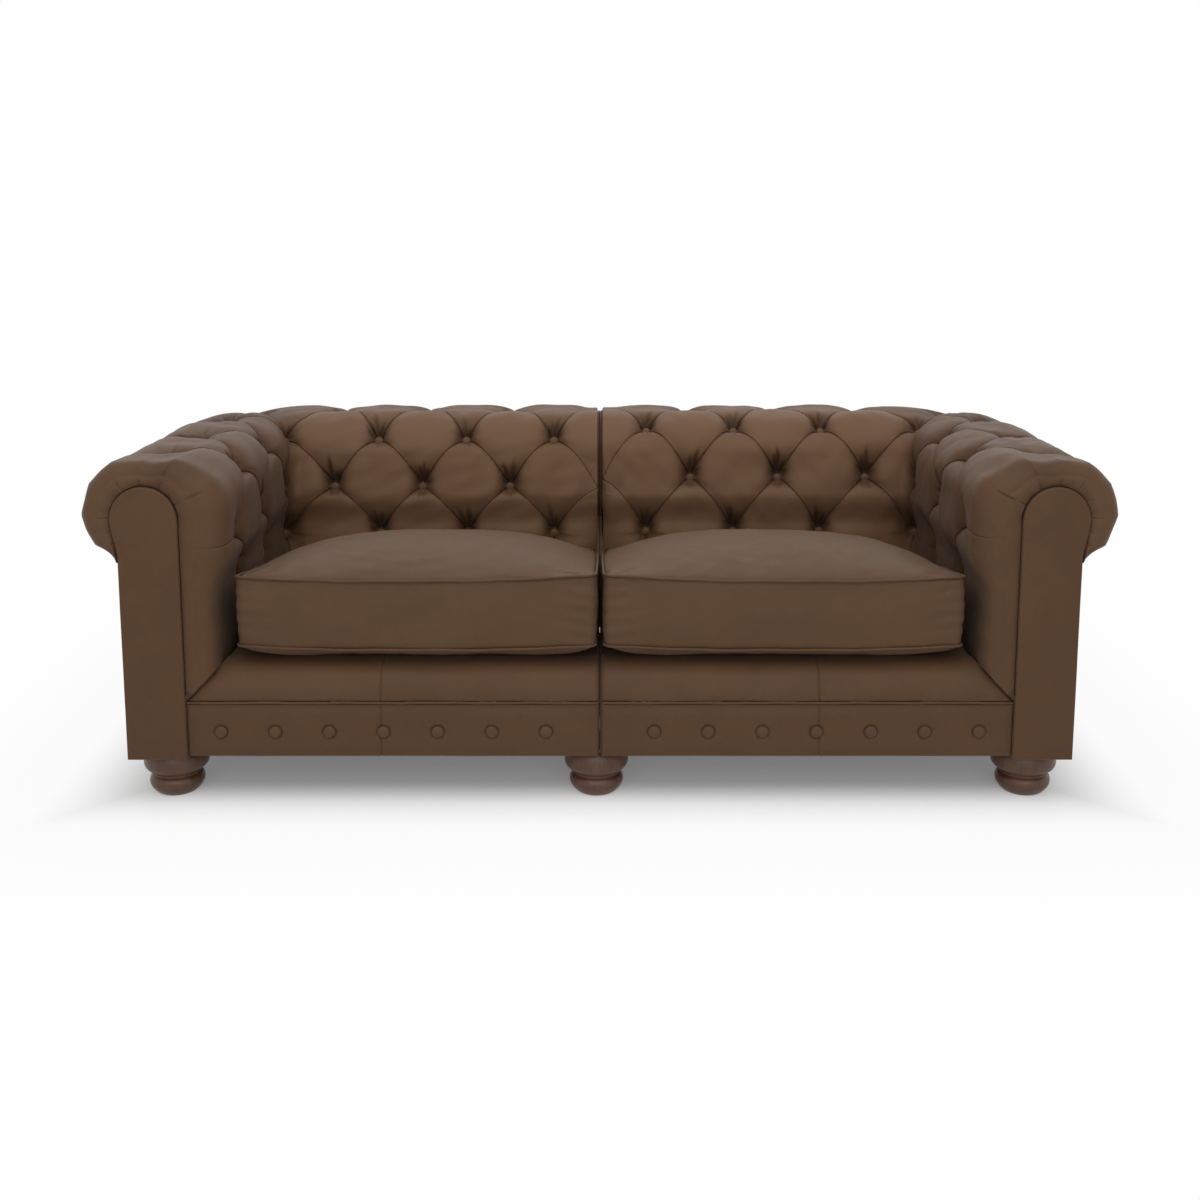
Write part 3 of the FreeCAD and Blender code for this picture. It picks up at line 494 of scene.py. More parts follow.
def make_piece(name, side, points, faces, finish, crown=1.0):
    """A smooth-shaded piece of millimetre points, mirrored for the right side."""
    points = np.array(points, float) * MM
    if side == "right":
        points[:, 0] *= -1
        faces = [tuple(reversed(f)) for f in faces]
    mesh = bpy.data.meshes.new(name)
    mesh.from_pydata(points.tolist(), [], [tuple(int(n) for n in f) for f in faces])
    mesh.shade_smooth()
    # the crown attribute: how far up a pillow each point is, lowered where shade is painted in
    # creases and gaps
    crown_and_painted_shade = mesh.attributes.new("crown", "FLOAT", "POINT")
    crown_and_painted_shade.data.foreach_set("value", np.broadcast_to(np.asarray(crown, float), len(points)).copy())
    piece = bpy.data.objects.new(name, mesh)
    bpy.context.scene.collection.objects.link(piece)
    mesh.materials.append(material(finish))
    return piece


def grid_faces(n, m, start=0, split=False):
    """Quads of a grid of (n + 1) by (m + 1) points; split cuts those on the diagonals in two."""
    faces = []
    for i in range(n):
        for j in range(m):
            a = start + i * (m + 1) + j
            b, c, d = a + m + 1, a + m + 2, a + 1
            if split and i + j == n - 1:
                faces += [(a, b, d), (b, c, d)]
            elif split and i == j:
                faces += [(a, b, c), (a, c, d)]
            else:
                faces.append((a, b, c, d))
    return faces


def add_hem(points, faces, loop, shift, closed=False):
    """Turns an edge in: quads from a loop of points to the same points moved by shift."""
    start = len(points)
    points = np.vstack([points, points[loop] + shift])
    count = len(loop)
    for n in range(count if closed else count - 1):
        k = (n + 1) % count
        faces.append((loop[n], start + n, start + k, loop[k]))
    return points, faces


def lines(low, high, step, edge=0.0, extra=()):
    """Places from low to high, about a step apart and closer within the edge distance."""
    near = [edge * t for t in (0.0, 0.04, 0.12, 0.25, 0.45, 0.7, 1.0)] if edge else [0.0]
    inner = np.linspace(low + near[-1], high - near[-1], max(2, round((high - low) / step)) + 1)
    ends = [low + t for t in near[:-1]] + [high - t for t in near[:-1]]
    return np.unique(np.round([*ends, *inner, *extra], 4))


def rounded(distance, radius):
    """How far a rounded edge stands back from the face, by the distance to the edge."""
    share = 1 - np.clip(distance / radius, 0.0, 1.0)
    return radius * (1 - np.sqrt(1 - share * share))


def lathe(profile, segments):
    """A turned shape from (radius, height) pairs, both ends on the axis; height is +z."""
    rings = [p for p in profile if p[0] > 1e-6]
    turn = np.linspace(0, 2 * math.pi, segments, endpoint=False)
    points = [(r * math.cos(a), r * math.sin(a), z) for r, z in rings for a in turn]
    faces = []
    for i in range(len(rings) - 1):
        for j in range(segments):
            k = (j + 1) % segments
            faces.append(
                (i * segments + j, i * segments + k, (i + 1) * segments + k, (i + 1) * segments + j)
            )
    low, high = len(points), len(points) + 1
    points += [(0, 0, profile[0][1]), (0, 0, profile[-1][1])]
    last = (len(rings) - 1) * segments
    for j in range(segments):
        k = (j + 1) % segments
        faces.append((low, k, j))
        faces.append((high, last + j, last + k))
    return np.array(points), faces


def join_shapes(shapes):
    """Several (points, faces) as one."""
    points, faces, start = [], [], 0
    for some_points, some_faces in shapes:
        points.append(np.asarray(some_points, float))
        faces += [tuple(start + n for n in f) for f in some_faces]
        start += len(some_points)
    return np.vstack(points), faces


def aimed(points, centre, direction):
    """Points made about +z, turned to look along a direction and moved to a centre."""
    z = np.asarray(direction, float) / np.linalg.norm(direction)
    side = np.cross((0.0, 0.0, 1.0) if abs(z[2]) < 0.9 else (1.0, 0.0, 0.0), z)
    side /= np.linalg.norm(side)
    turn = np.column_stack([side, np.cross(z, side), z])
    return points @ turn.T + np.asarray(centre, float)


def tube(path, radius, sides=10, closed=False):
    """A round cord along points; closed joins its ends, otherwise they are capped."""
    path = np.asarray(path, float)
    if closed:
        ahead, behind = np.roll(path, -1, 0), np.roll(path, 1, 0)
    else:
        ahead, behind = np.vstack([path[1:], path[-1:]]), np.vstack([path[:1], path[:-1]])
    along = ahead - behind
    along /= np.linalg.norm(along, axis=1)[:, None]
    up = np.tile((0.0, 0.0, 1.0), (len(path), 1))
    side = np.cross(along, up)
    side /= np.linalg.norm(side, axis=1)[:, None]
    up = np.cross(side, along)
    turn = np.linspace(0, 2 * math.pi, sides, endpoint=False)
    rings = path[:, None] + radius * (
        np.cos(turn)[None, :, None] * side[:, None] + np.sin(turn)[None, :, None] * up[:, None]
    )
    points = rings.reshape(-1, 3)
    faces = []
    count = len(path)
    for i in range(count if closed else count - 1):
        for j in range(sides):
            a, b = i * sides, (i + 1) % count * sides
            k = (j + 1) % sides
            faces.append((a + j, b + j, b + k, a + k))
    if not closed:
        faces.append(tuple(range(sides)))
        faces.append(tuple(range(count * sides - 1, (count - 1) * sides - 1, -1)))
    return points, faces


# ---------------------------------------------------------------- the tufted padding


def path_frame(column):
    """Base points on the inner face line and outward directions, for half columns."""
    start = SEAM_COLUMN + BACK_PITCH * 6
    rest = CORNER_X - start
    bend = CORNER_R + TUFT_DEPTH
    gone = (column - 6) * (rest + bend * math.pi / 4)
    turn = np.where(column < CORNER_COLUMN, (gone - rest) / bend, math.pi / 4 * (column - 6))
    turn = np.clip(turn, 0.0, math.pi / 2)
    on_back = (column <= 6) | ((column < CORNER_COLUMN) & (gone <= rest))
    on_arm = column >= 8
    along = np.where(column <= 6, SEAM_COLUMN + BACK_PITCH * column, start + gone)
    along = np.maximum(along, PAD_END_X)
    arm_y = CORNER_Y - ARM_PITCH * (np.minimum(column, BULLNOSE_START) - 8)
    x = np.select(
        [on_back, on_arm], [-along, -INNER_X + 0 * along], -CORNER_X - CORNER_R * np.sin(turn)
    )
    y = np.select(
        [on_back, on_arm], [INNER_Y + 0 * along, arm_y], CORNER_Y + CORNER_R * np.cos(turn)
    )
    out_x = np.select([on_back, on_arm], [0 * along, -1 + 0 * along], -np.sin(turn))
    out_y = np.select([on_back, on_arm], [1 + 0 * along, 0 * along], np.cos(turn))
    return x, y, out_x, out_y


def along_path(column):
    """Distance along the leather at button level, from the seam."""
    return np.interp(column, PATH_COLUMNS, PATH_PLACES)


FACE_L = SHOULDER_Z - PAD_BOTTOM
SHOULDER_L = SHOULDER_R * math.pi / 2
TOP_L = ROLL_O - SHOULDER_R
ROLL_TURN = math.pi / 2 + math.acos((PANEL_O - ROLL_O) / ROLL_R)
SECTION_L = FACE_L + SHOULDER_L + TOP_L + ROLL_R * ROLL_TURN


def section_point(length, lean):
    """Offset, height and outward normal at distances up the cross-section."""
    z = PAD_BOTTOM + length
    face_o = TUCK_IN * smooth((TUCK_TOP - z) / TUCK_SPAN) - lean * BACK_LEAN * (SHOULDER_Z - z)
    a = (length - FACE_L) / SHOULDER_R
    top = length - FACE_L - SHOULDER_L
    b = (top - TOP_L) / ROLL_R
    where = [length < FACE_L, a < math.pi / 2, top < TOP_L]
    bent_o = SHOULDER_R * (1 - np.cos(a))
    o = np.select(where, [face_o, bent_o, SHOULDER_R + top], ROLL_O + ROLL_R * np.sin(b))
    height = np.select(
        where, [z, SHOULDER_Z + SHOULDER_R * np.sin(a), HEIGHT + 0 * z], ROLL_Z + ROLL_R * np.cos(b)
    )
    out_o = np.select(where, [-1 + 0 * z, -np.cos(a), 0 * z], np.sin(b))
    out_z = np.select(where, [0 * z, np.sin(a), 1 + 0 * z], np.cos(b))
    return o, height, out_o, out_z


def row_length(row, rows):
    """Distance up the cross-section of a row; pleats leave their upper button level."""
    rows = np.asarray(rows)
    n = np.clip(np.floor(row), 0, 2).astype(int)
    t = np.clip(row - n, 0.0, 1.0)
    between = rows[n] + (rows[n + 1] - rows[n]) * (PLEAT_START * t + (1 - PLEAT_START) * t * t)
    over = rows[0] + (SECTION_L - rows[0]) * np.clip(-row, 0.0, 1.0)
    under = rows[3] * (4 - np.clip(row, 3.0, 4.0))
    return np.select([row <= 0, row >= 3], [over, under], between)


def swell(x, edge=PILLOW_EDGE):
    x = np.clip(x, 0.0, 1.0)
    sides = (1 - np.exp(-x / edge)) * (1 - np.exp(-(1 - x) / edge))
    return sides / (1 - math.exp(-0.5 / edge)) ** 2


def pleat_rise(x):
    return np.maximum(0.0, np.sin(math.pi * np.clip(x, 0.0, 1.0))) ** 0.6


def near_edge(x):
    return np.exp(-np.minimum(x, 1 - x) / PLEAT_FADE)


def pillow(p, q):
    near_p, near_q = near_edge(p), near_edge(q)
    valley = (near_p * pleat_rise(q) + near_q * pleat_rise(p)) / (near_p + near_q)
    full = swell(p) * swell(q)
    return TUFT_DEPTH * full + PLEAT_RISE * valley * (1 - full)


def fluting(across, reach, rise=OVER_RISE, edge=0.13):
    """Height between straight pleats that set out from a row of buttons."""
    full = swell(across, edge) ** (2 - smooth(reach / 0.35))
    valley = 1 - (1 - pleat_rise(across)) * (1 - np.minimum(1.0, reach / 0.3) ** 0.6)
    return TUFT_DEPTH * full + rise * valley * (1 - full)


def ahead_of_pleat(front):
    """How deep the leather still is in front of the top row's last button, as share of a tuft."""
    rise = AHEAD_RISE * np.minimum(1.0, front / 0.3) ** 0.6
    return 1 - (rise + (TUFT_DEPTH - rise) * smooth(front / 0.4)) / TUFT_DEPTH


def arm_front_corner(front, over):
    """Height in front of the last pleat that runs over the arm's roll."""
    pleat = 1 - OVER_RISE * np.minimum(1.0, over / 0.3) ** 0.6 / TUFT_DEPTH
    return TUFT_DEPTH * (1 - ahead_of_pleat(front) * pleat)


def tuft_height(column, row):
    """Height of the padding over button level."""
    over, under = np.maximum(0.0, -row), np.maximum(0.0, row - 3)
    front = np.maximum(0.0, column - LAST_COLUMN)
    up, down = (column + row) / 2, (column - row) / 2
    ahead = fluting(row / 2 - np.floor(row / 2), front, AHEAD_RISE, 0.1)
    ahead = ahead + (TUFT_DEPTH - ahead) * smooth(front / np.where(row < 1, 0.4, 1.3))
    height = np.select(
        [
            (front > 0) & (over > 0),
            (front > 0) & (under > 0),
            front > 0,
            over > 0,
            under > 0,
        ],
        [
            arm_front_corner(front, over),
            TUFT_DEPTH + 0 * row,
            ahead,
            fluting(column / 2 - np.floor(column / 2), over),
            fluting((column - 1) / 2 - np.floor((column - 1) / 2), under),
        ],
        pillow(up - np.floor(up), down - np.floor(down)),
    )
    beside = np.abs(column - CORNER_COLUMN)
    corner = 0.5 * smooth((1 - row) / 0.5) * np.exp(-beside / 0.13)
    height = height * (1 - corner)
    # no button stands in the seam, so the leather dips only a little there
    ends = 1 - smooth(column / 0.7)
    return height + np.maximum(0.0, SEAM_FILL * TUFT_DEPTH - height) * ends


def tuft_places():
    places = [(c, r) for c in range(1, 13) for r in range(4) if (c + r) % 2 == 0]
    return places + [(CORNER_COLUMN, 0)]


def wrinkle_fan(du, dv, chance):
    """Share of wrinkle depth of the grooves above and below a button, 0 to about 1."""
    total = 0 * du
    skew = chance.uniform(-0.16, 0.16)
    for n in range(10):
        if n < 7:
            tilt = skew + (n - 3) * 0.235 + chance.uniform(-0.07, 0.07)
            reach = (92 - 56 * min(1.0, abs(tilt - skew) / 0.7)) * chance.uniform(0.75, 1.2)
            deep = chance.uniform(0.6, 1.15)
        else:
            tilt = math.pi + (n - 8) * 0.42 + chance.uniform(-0.12, 0.12)
            reach = 30 * chance.uniform(0.7, 1.3)
            deep = chance.uniform(0.3, 0.5)
        wide, bend = chance.uniform(2.6, 3.8), chance.uniform(-0.0016, 0.0016)
        rise = dv + 4 * math.cos(tilt)
        ahead = du * math.sin(tilt) + rise * math.cos(tilt)
        across = du * math.cos(tilt) - rise * math.sin(tilt) + bend * ahead * ahead
        wide = wide * (1 + np.clip(ahead, 0, 90) / 120)
        along = smooth((ahead - 9) / 9) * (1 - smooth((ahead - 0.5 * reach) / (0.5 * reach)))
        total = np.maximum(total, deep * along * gauss(across / wide))
    return total


def off_whole(x):
    """Distance to the nearest whole number."""
    return np.abs(x - np.round(x))


def folds(column, row, rows, sizes, seed):
    """Fine relief in millimetres (fold lines, lips, puckers and wrinkles) and its painted shade, 0
    to 1.
    """
    crease, wrinkle = sizes.crease_depth * 1000, sizes.wrinkle_depth * 1000
    chance = np.random.default_rng(seed)
    over, under = np.maximum(0.0, -row), np.maximum(0.0, row - 3)
    front = np.maximum(0.0, column - LAST_COLUMN)
    u, v = along_path(column), row_length(row, rows)
    up, down = (column + row) / 2, (column - row) / 2
    p, q = up - np.floor(up), down - np.floor(down)
    line_p, line_q = (np.minimum(t, 1 - t) * DIAMOND_SIDE for t in (p, q))
    quilted = (over <= 0) & (under <= 0) & (front <= 0)
    # the fold line is pressed deepest near its buttons, and fades towards the seam
    middle_p, middle_q = np.sin(math.pi * q) ** 2, np.sin(math.pi * p) ** 2
    calm = 1 - 0.35 * gauss(column / 1.3)
    pressed_p = np.exp(-line_p / 1.25) * (1 - 0.3 * middle_p)
    pressed_q = np.exp(-line_q / 1.25) * (1 - 0.3 * middle_q)
    lift = -crease * calm * (pressed_p + pressed_q)
    # the upper leather laps over the lower one
    lip_p, lip_q = (gauss((t * DIAMOND_SIDE - 3.6) / 2.6) for t in (1 - p, q))
    lift += 0.9 * calm * (lip_p + lip_q)
    lift += 0.45 * np.exp(-line_p / 8) * np.sin(q * DIAMOND_SIDE / 2.4 + 2.0 * np.sin(u / 90))
    lift += 0.45 * np.exp(-line_q / 8) * np.sin(p * DIAMOND_SIDE / 2.2 + 2.0 * np.sin(u / 70))
    lift = np.where(quilted, lift, 0.0)
    for reach, line, run in (
        (over, off_whole(column / 2) * PLEAT_SPACING, v),
        (under, off_whole((column - 1) / 2) * PLEAT_SPACING, v),
        (front * (under <= 0) * (row > 1), off_whole(row / 2) * AHEAD_SPACING, u),
    ):
        puckers = 0.6 * np.exp(-line / 10) * np.sin(run / 2.6 + line / 9)
        straight = -crease * np.exp(-line / 1.5) + puckers
        lift += np.where(reach > 0, straight, 0.0)
    shade = 0 * u
    for place in tuft_places():
        du, dv = u - along_path(place[0]), v - row_length(np.array(float(place[1])), rows)
        far = np.hypot(du, dv)
        close = far < 100
        du, dv, far = du[close], dv[close], far[close]
        fan = wrinkle_fan(du, dv, chance)
        # the leather dives in round the button, most of all above it
        pocket = gauss(du / 18) * gauss((dv - 15) / 17)
        dusk = gauss(du / 25) * gauss((dv - 20) / 31)
        moat = gauss((far - 13) / 6)
        lift[close] -= wrinkle * fan + 5.0 * pocket * smooth(far / 16) + 2.0 * moat
        # painted shade: dark in the pocket above each button, along its wrinkles and in the moat
        # round it
        dark = np.clip(0.62 * dusk + 1.0 * fan * gauss(far / 130) + 0.3 * moat, 0, 1)
        shade[close] = np.maximum(shade[close], dark)
    # no two pillows are stuffed quite the same
    for wide, high in ((150, 1.2), (88, 0.8), (46, 0.35)):
        for _ in range(3):
            turn, phase = chance.uniform(0, math.pi), chance.uniform(0, 6.3)
            run = (u * math.cos(turn) + v * math.sin(turn)) * 2 * math.pi / wide
            lift += high * np.sin(run + phase) / 1.6
    return lift, shade


def facing_edge(o, z):
    """The facing's own outline, met along a line from the middle of its arch."""
    angle = np.arctan2(z - ARCH_Z, o - ARCH_O)
    hip = np.interp(z, (547, 575, 612, ARCH_Z), (229.5, 232.0, 239.5, ARCH_O + EDGE_R))
    above = z > ARCH_Z
    beside = np.where(o < ARCH_O, STEM_O - 0.5, hip)
    near_o = np.where(above, ARCH_O + EDGE_R * np.cos(angle), beside)
    return near_o, np.where(above, ARCH_Z + EDGE_R * np.sin(angle), z)


# Ticks in the leather round the arch: angle, first and last distance from its middle, depth
GATHERS = (
    (57, 82, 102, 2.0), (70, 78, 93, 1.6), (86, 74, 90, 2.0), (101, 74, 84, 1.2),
    (117, 76, 95, 1.8), (153, 72, 93, 2.4), (154, 101, 140, 2.8), (116, 106, 136, 2.0),
    (3, 74, 99, 2.2), (-20, 74, 88, 1.4), (-37, 74, 94, 2.0), (135, 74, 86, 1.4),
    (32, 76, 88, 1.5),
)
# Where the leather's outline bends between its gathers
OUTLINE_BENDS = (-58.0, -26.4, 3.1, 31.6, 58.8, 88.0, 117.0, 150.0)


def facets(angle):
    """How far the outline falls back between its bends, in shares of its radius."""
    bends = np.array(OUTLINE_BENDS)
    n = np.clip(np.searchsorted(bends, angle) - 1, 0, len(bends) - 2)
    half = np.radians(bends[n + 1] - bends[n]) / 2
    off = np.radians(angle) - np.radians(bends[n]) - half
    flat = 1 - np.cos(half) / np.cos(np.clip(off, -half, half))
    return np.where((angle > bends[0]) & (angle < bends[-1]), flat, 0.0)


def front_profile(t, ring):
    """Depth before the straight arm and share of the ring's width, along the turn to the arch."""
    r = np.minimum(BULLNOSE_TURN + 24 * smooth((ring - 60) / 30), ring - 6)
    run = BULLNOSE - r
    turn = np.clip((t - 0.2) / 0.4, 0.0, 1.0) * math.pi / 2
    front = np.clip((t - 0.6) / 0.4, 0.0, 1.0)
    depth = run * np.clip(t / 0.2, 0.0, 1.0) + r * np.sin(turn)
    inward = r * (1 - np.cos(turn)) + (ring - r) * front
    dome = np.sin(math.pi * np.minimum(1.0, front * 1.12)) ** 0.8 * (front < 0.89)
    depth = depth + FRONT_DOME * dome - rounded((1 - front) * (ring - r), 4.0) * (front > 0)
    return depth, 1 - inward / ring


def padding_surface(column, row, side, sizes):
    """Points in millimetres and how far up the pillow each is, 0 to 1, lowered where shade is
    painted.
    """
    rows = ROWS[side]
    seed = 11 if side == "left" else 23
    x, y, out_x, out_y = path_frame(column)
    lean = 1 - smooth((column - 6) / 2)
    length = row_length(row, rows)
    t = np.clip((column - BULLNOSE_START) / BULLNOSE_SPAN, 0.0, 1.0)
    rough_share = front_profile(t, 66.5)[1]
    # at the front the padding ends on the slanting line where the deck's roll meets it
    drawn = STEM_O - 0.5 + (TUCK_IN - STEM_O + 0.5) * rough_share
    mitre = (MITRE_SUM - drawn - PAD_BOTTOM) * smooth((column - 12.15) / 0.25)
    length = length + mitre * np.clip(row - 3, 0.0, 1.0)
    mitre_gap = np.where(column > 12.3, (length - mitre) / math.sqrt(2), 99.0)
    height = tuft_height(column, row)
    o, z, out_o, out_z = section_point(length, lean)
    relief, shade = folds(column, row, rows, sizes, seed)
    along = SEAM_COLUMN + BACK_PITCH * column
    relief = relief - rounded(along - PAD_END_X, 4.0) * (column < 1)
    relief = relief - rounded(mitre_gap, 4.0)
    sink = TUFT_DEPTH - height - relief * (1 - 0.6 * t)
    angle = np.degrees(np.arctan2(z - ARCH_Z, o - ARCH_O))
    near_front = smooth((column - 12.2) / 0.5)
    shift = PAD_SHIFT * smooth((angle + 40) / 20) * smooth((100 - angle) / 30)
    sink = sink + (1.2 * ROLL_R * facets(angle) - shift) * near_front
    full_o, full_z = o - out_o * sink, z - out_z * sink
    near_o, near_z = facing_edge(o, z)
    ring = np.maximum(np.hypot(full_o - near_o, full_z - near_z), BULLNOSE_TURN + 8)
    depth, share = front_profile(t, ring)
    o = near_o + (full_o - near_o) * share
    z = near_z + (full_z - near_z) * share
    # the leather is gathered round the arch of the facing
    far = np.hypot(o - ARCH_O, z - ARCH_Z)
    angle = np.degrees(np.arctan2(z - ARCH_Z, o - ARCH_O))
    ticks = 0 * far
    for at, low, high, deep in GATHERS:
        across = far * np.radians(angle - at)
        run = smooth((far - low + 3) / 5) * (1 - smooth((far - high + 7) / 9))
        ticks = np.maximum(ticks, deep * gauss(across / 1.9) * run)
    turned = np.radians(angle)
    puff = 0.9 * np.cos(turned * 11 + 1.5 * np.sin(turned * 3)) * np.exp(-(far - 74) / 22)
    hollow = (ticks - puff) * smooth((t - 0.2) / 0.3) * (share > 0.004) * (z > 540)
    y = y - depth + hollow
    points = np.column_stack([x + out_x * o, y + out_y * o, z])
    # painted shade: a dark line round the facing's edge, and darker hollows between the gathers
    # round the arch
    rim = 0.15 * gauss((1 - t) * 7) * (t > 0)
    dark = np.clip(shade + 0.3 * np.clip(hollow, 0, 2) / 2 + rim, 0, 1)
    # painted shade: the inside of the arms and the top of the roll are darkened against the back
    painted_shade_factor = 1 - 0.42 * smooth((column - 6.3) / 1.6) * smooth(row / 0.8 + 0.4)
    painted_shade_factor = painted_shade_factor - 0.34 * smooth((0.9 - row) / 0.9)
    # the crown attribute: height up the pillow, lowered by the painted shade
    crown_and_painted_shade = (0.25 + 0.75 * np.clip(height / TUFT_DEPTH, 0.0, 1.0)) * (1 - 0.95 * dark) * painted_shade_factor
    return points, crown_and_painted_shade


def padding(low, high, lines_n=88):
    """The leather between two half columns, as merged patches."""
    t = np.linspace(0, 1, lines_n + 1)
    f = t - 0.76 / (2 * math.pi) * np.sin(2 * math.pi * t)
    places, faces, start = [], [], 0

    def add(columns, rows, split=False, flip=False):
        nonlocal start
        n, m = columns.shape[0] - 1, columns.shape[1] - 1
        some = grid_faces(n, m, start, split)
        faces.extend([tuple(reversed(g)) for g in some] if flip else some)
        places.append(np.column_stack([columns.ravel(), rows.ravel()]))
        start += columns.size

    for c0 in range(0, LAST_COLUMN + 1):
        for r0 in range(4):
            if (c0 + r0) % 2 and low - 1 < c0 < high + 1:
                p, q = np.meshgrid(f, f, indexing="ij")
                add(c0 + p + q - 1, r0 + p - q, split=True, flip=True)
    reach = np.linspace(0, 1, 72)
    over = -(0.25 * reach + 0.75 * reach**1.25)
    under = 3 + np.linspace(0, 1, 28) ** 1.15
    for c0 in range(1, LAST_COLUMN, 2):
        add(*np.meshgrid(c0 - 1 + 2 * f, over, indexing="ij"), flip=True)
    for c0 in range(0, LAST_COLUMN + 1, 2):
        add(*np.meshgrid(c0 - 1 + 2 * f, under, indexing="ij"))
    if high > LAST_COLUMN:
        coarse = np.concatenate([over, 2 * f, (2 + 2 * f)[: lines_n // 2 + 1], under])
        coarse = np.unique(np.round(coarse, 7))
        fine = np.interp(np.arange(3 * len(coarse) - 2) / 3, np.arange(len(coarse)), coarse)
        straight = np.linspace(LAST_COLUMN + 0.03, BULLNOSE_START, 15)
        turn = np.concatenate([np.linspace(0, 0.9, 34)[1:], 0.9 + 0.1 * np.linspace(0, 1, 9)[1:]])
        front = np.concatenate([straight, BULLNOSE_START + BULLNOSE_SPAN * turn])
        # one strip of six-sided faces leads over to rows three times as close
        first, start = start, start + len(coarse)
        places.append(np.column_stack([LAST_COLUMN + 0 * coarse, coarse]))
        for n in range(len(coarse) - 1):
            faces.append((first + n, *(start + 3 * n + k for k in range(4)), first + n + 1))
        add(*np.meshgrid(front, fine, indexing="ij"))
    places = np.vstack(places)
    _, first, index = np.unique(
        np.rint(places * 1e5).astype(np.int64), axis=0, return_index=True, return_inverse=True
    )
    index = index.ravel()
    places = places[first]
    kept = []
    for face in faces:
        face = index[list(face)]
        c, r = places[face].mean(0)
        if low < c < high and -1 < r < 4 and (c < LAST_COLUMN or high > LAST_COLUMN):
            kept.append(face)
    used = np.unique(np.concatenate(kept))
    renumber = np.zeros(len(places), int)
    renumber[used] = np.arange(len(used))
    places = places[used]
    kept = [tuple(renumber[f]) for f in kept]
    return places[:, 0], places[:, 1], kept


def edge_loop(values, at, order):
    """Points that lie on an edge, told by one coordinate, in the order of the other."""
    on_edge = np.flatnonzero(np.abs(values - at) < 1e-4)
    return on_edge[np.argsort(order[on_edge])]


def make_padding(side, part, sizes):
    low, high = (0, CORNER_COLUMN) if part == "back" else (CORNER_COLUMN, 14)
    column, row, faces = padding(low, high)
    points, crown_and_painted_shade = padding_surface(column, row, side, sizes)
    x, _, out_x, out_y = path_frame(column)
    outward = np.column_stack([out_x, out_y, 0 * x])
    hems = [
        (edge_loop(row, -1.0, column), lambda loop: -outward[loop] * 12.0),
        (edge_loop(row, 4.0, -column), lambda loop: outward[loop] * 14.0),
    ]
    if part == "back":
        hems.append((edge_loop(column, 0.0, -row), lambda loop: seam_turn(row[loop], side) * 16.0))
    else:
        end = BULLNOSE_START + BULLNOSE_SPAN
        hems.append((edge_loop(column, end, row), lambda loop: np.array([0.0, 12.0, 0.0])))
    for loop, shift in hems:
        points, faces = add_hem(points, faces, loop, shift(loop))
        crown_and_painted_shade = np.concatenate([crown_and_painted_shade, np.zeros(len(loop))])
    return make_piece(f"{side}_{part}_padding", side, points, faces, "tufted_leather", crown_and_painted_shade)


def seam_turn(row, side):
    """Directions into the padding at the seam."""
    _, _, out_o, out_z = section_point(row_length(row, ROWS[side]), np.ones(len(row)))
    return np.column_stack([0 * row, -out_o, -out_z])


# ---------------------------------------------------------------- flat upholstered pieces


def panel(us, vs, lay, lift, depth, flip=False, close=True):
    """A padded panel over a grid: raised by lift along its normal, its edge turned back."""
    u, v = (g.ravel() for g in np.meshgrid(us, vs, indexing="ij"))
    flat, normal = lay(u, v)
    n, m = len(us) - 1, len(vs) - 1
    points = flat + normal * lift(u, v)[:, None]
    faces = grid_faces(n, m)
    loop = [i * (m + 1) for i in range(n + 1)] + [n * (m + 1) + j for j in range(1, m + 1)]
    loop += [i * (m + 1) + m for i in range(n - 1, -1, -1)] + list(range(m - 1, 0, -1))
    loop = np.array(loop)
    shift = -(normal[loop] if normal.shape == flat.shape else normal) * depth
    start = len(points)
    points, faces = add_hem(points, faces, loop, shift, closed=True)
    if close:
        faces.append(tuple(range(start + len(loop) - 1, start - 1, -1)))
    if flip:
        faces = [tuple(reversed(f)) for f in faces]
    return points, faces


def unevenness(u, v, seed, high=0.8):
    """Slight waves of stretched leather, in millimetres."""
    chance = np.random.default_rng(seed)
    total = 0 * u
    for wide in (310, 170, 90, 55):
        turn, phase = chance.uniform(0, math.pi), chance.uniform(0, 6.3)
        total += (wide / 310) ** 0.7 * np.sin(
            (u * math.cos(turn) + v * math.sin(turn)) * 2 * math.pi / wide + phase
        )
    return total * high / 2


def facing_width(z):
    """Inner and outer edge of the facing at heights below its arch."""
    outer = np.interp(
        z, (HEM_Z, 549.4, 562, 575.4, 595, 612.4, ARCH_Z), (227, 227, 228, 230, 234.6, 238.4, 240.5)
    )
    return 97.2 + 0 * z, outer


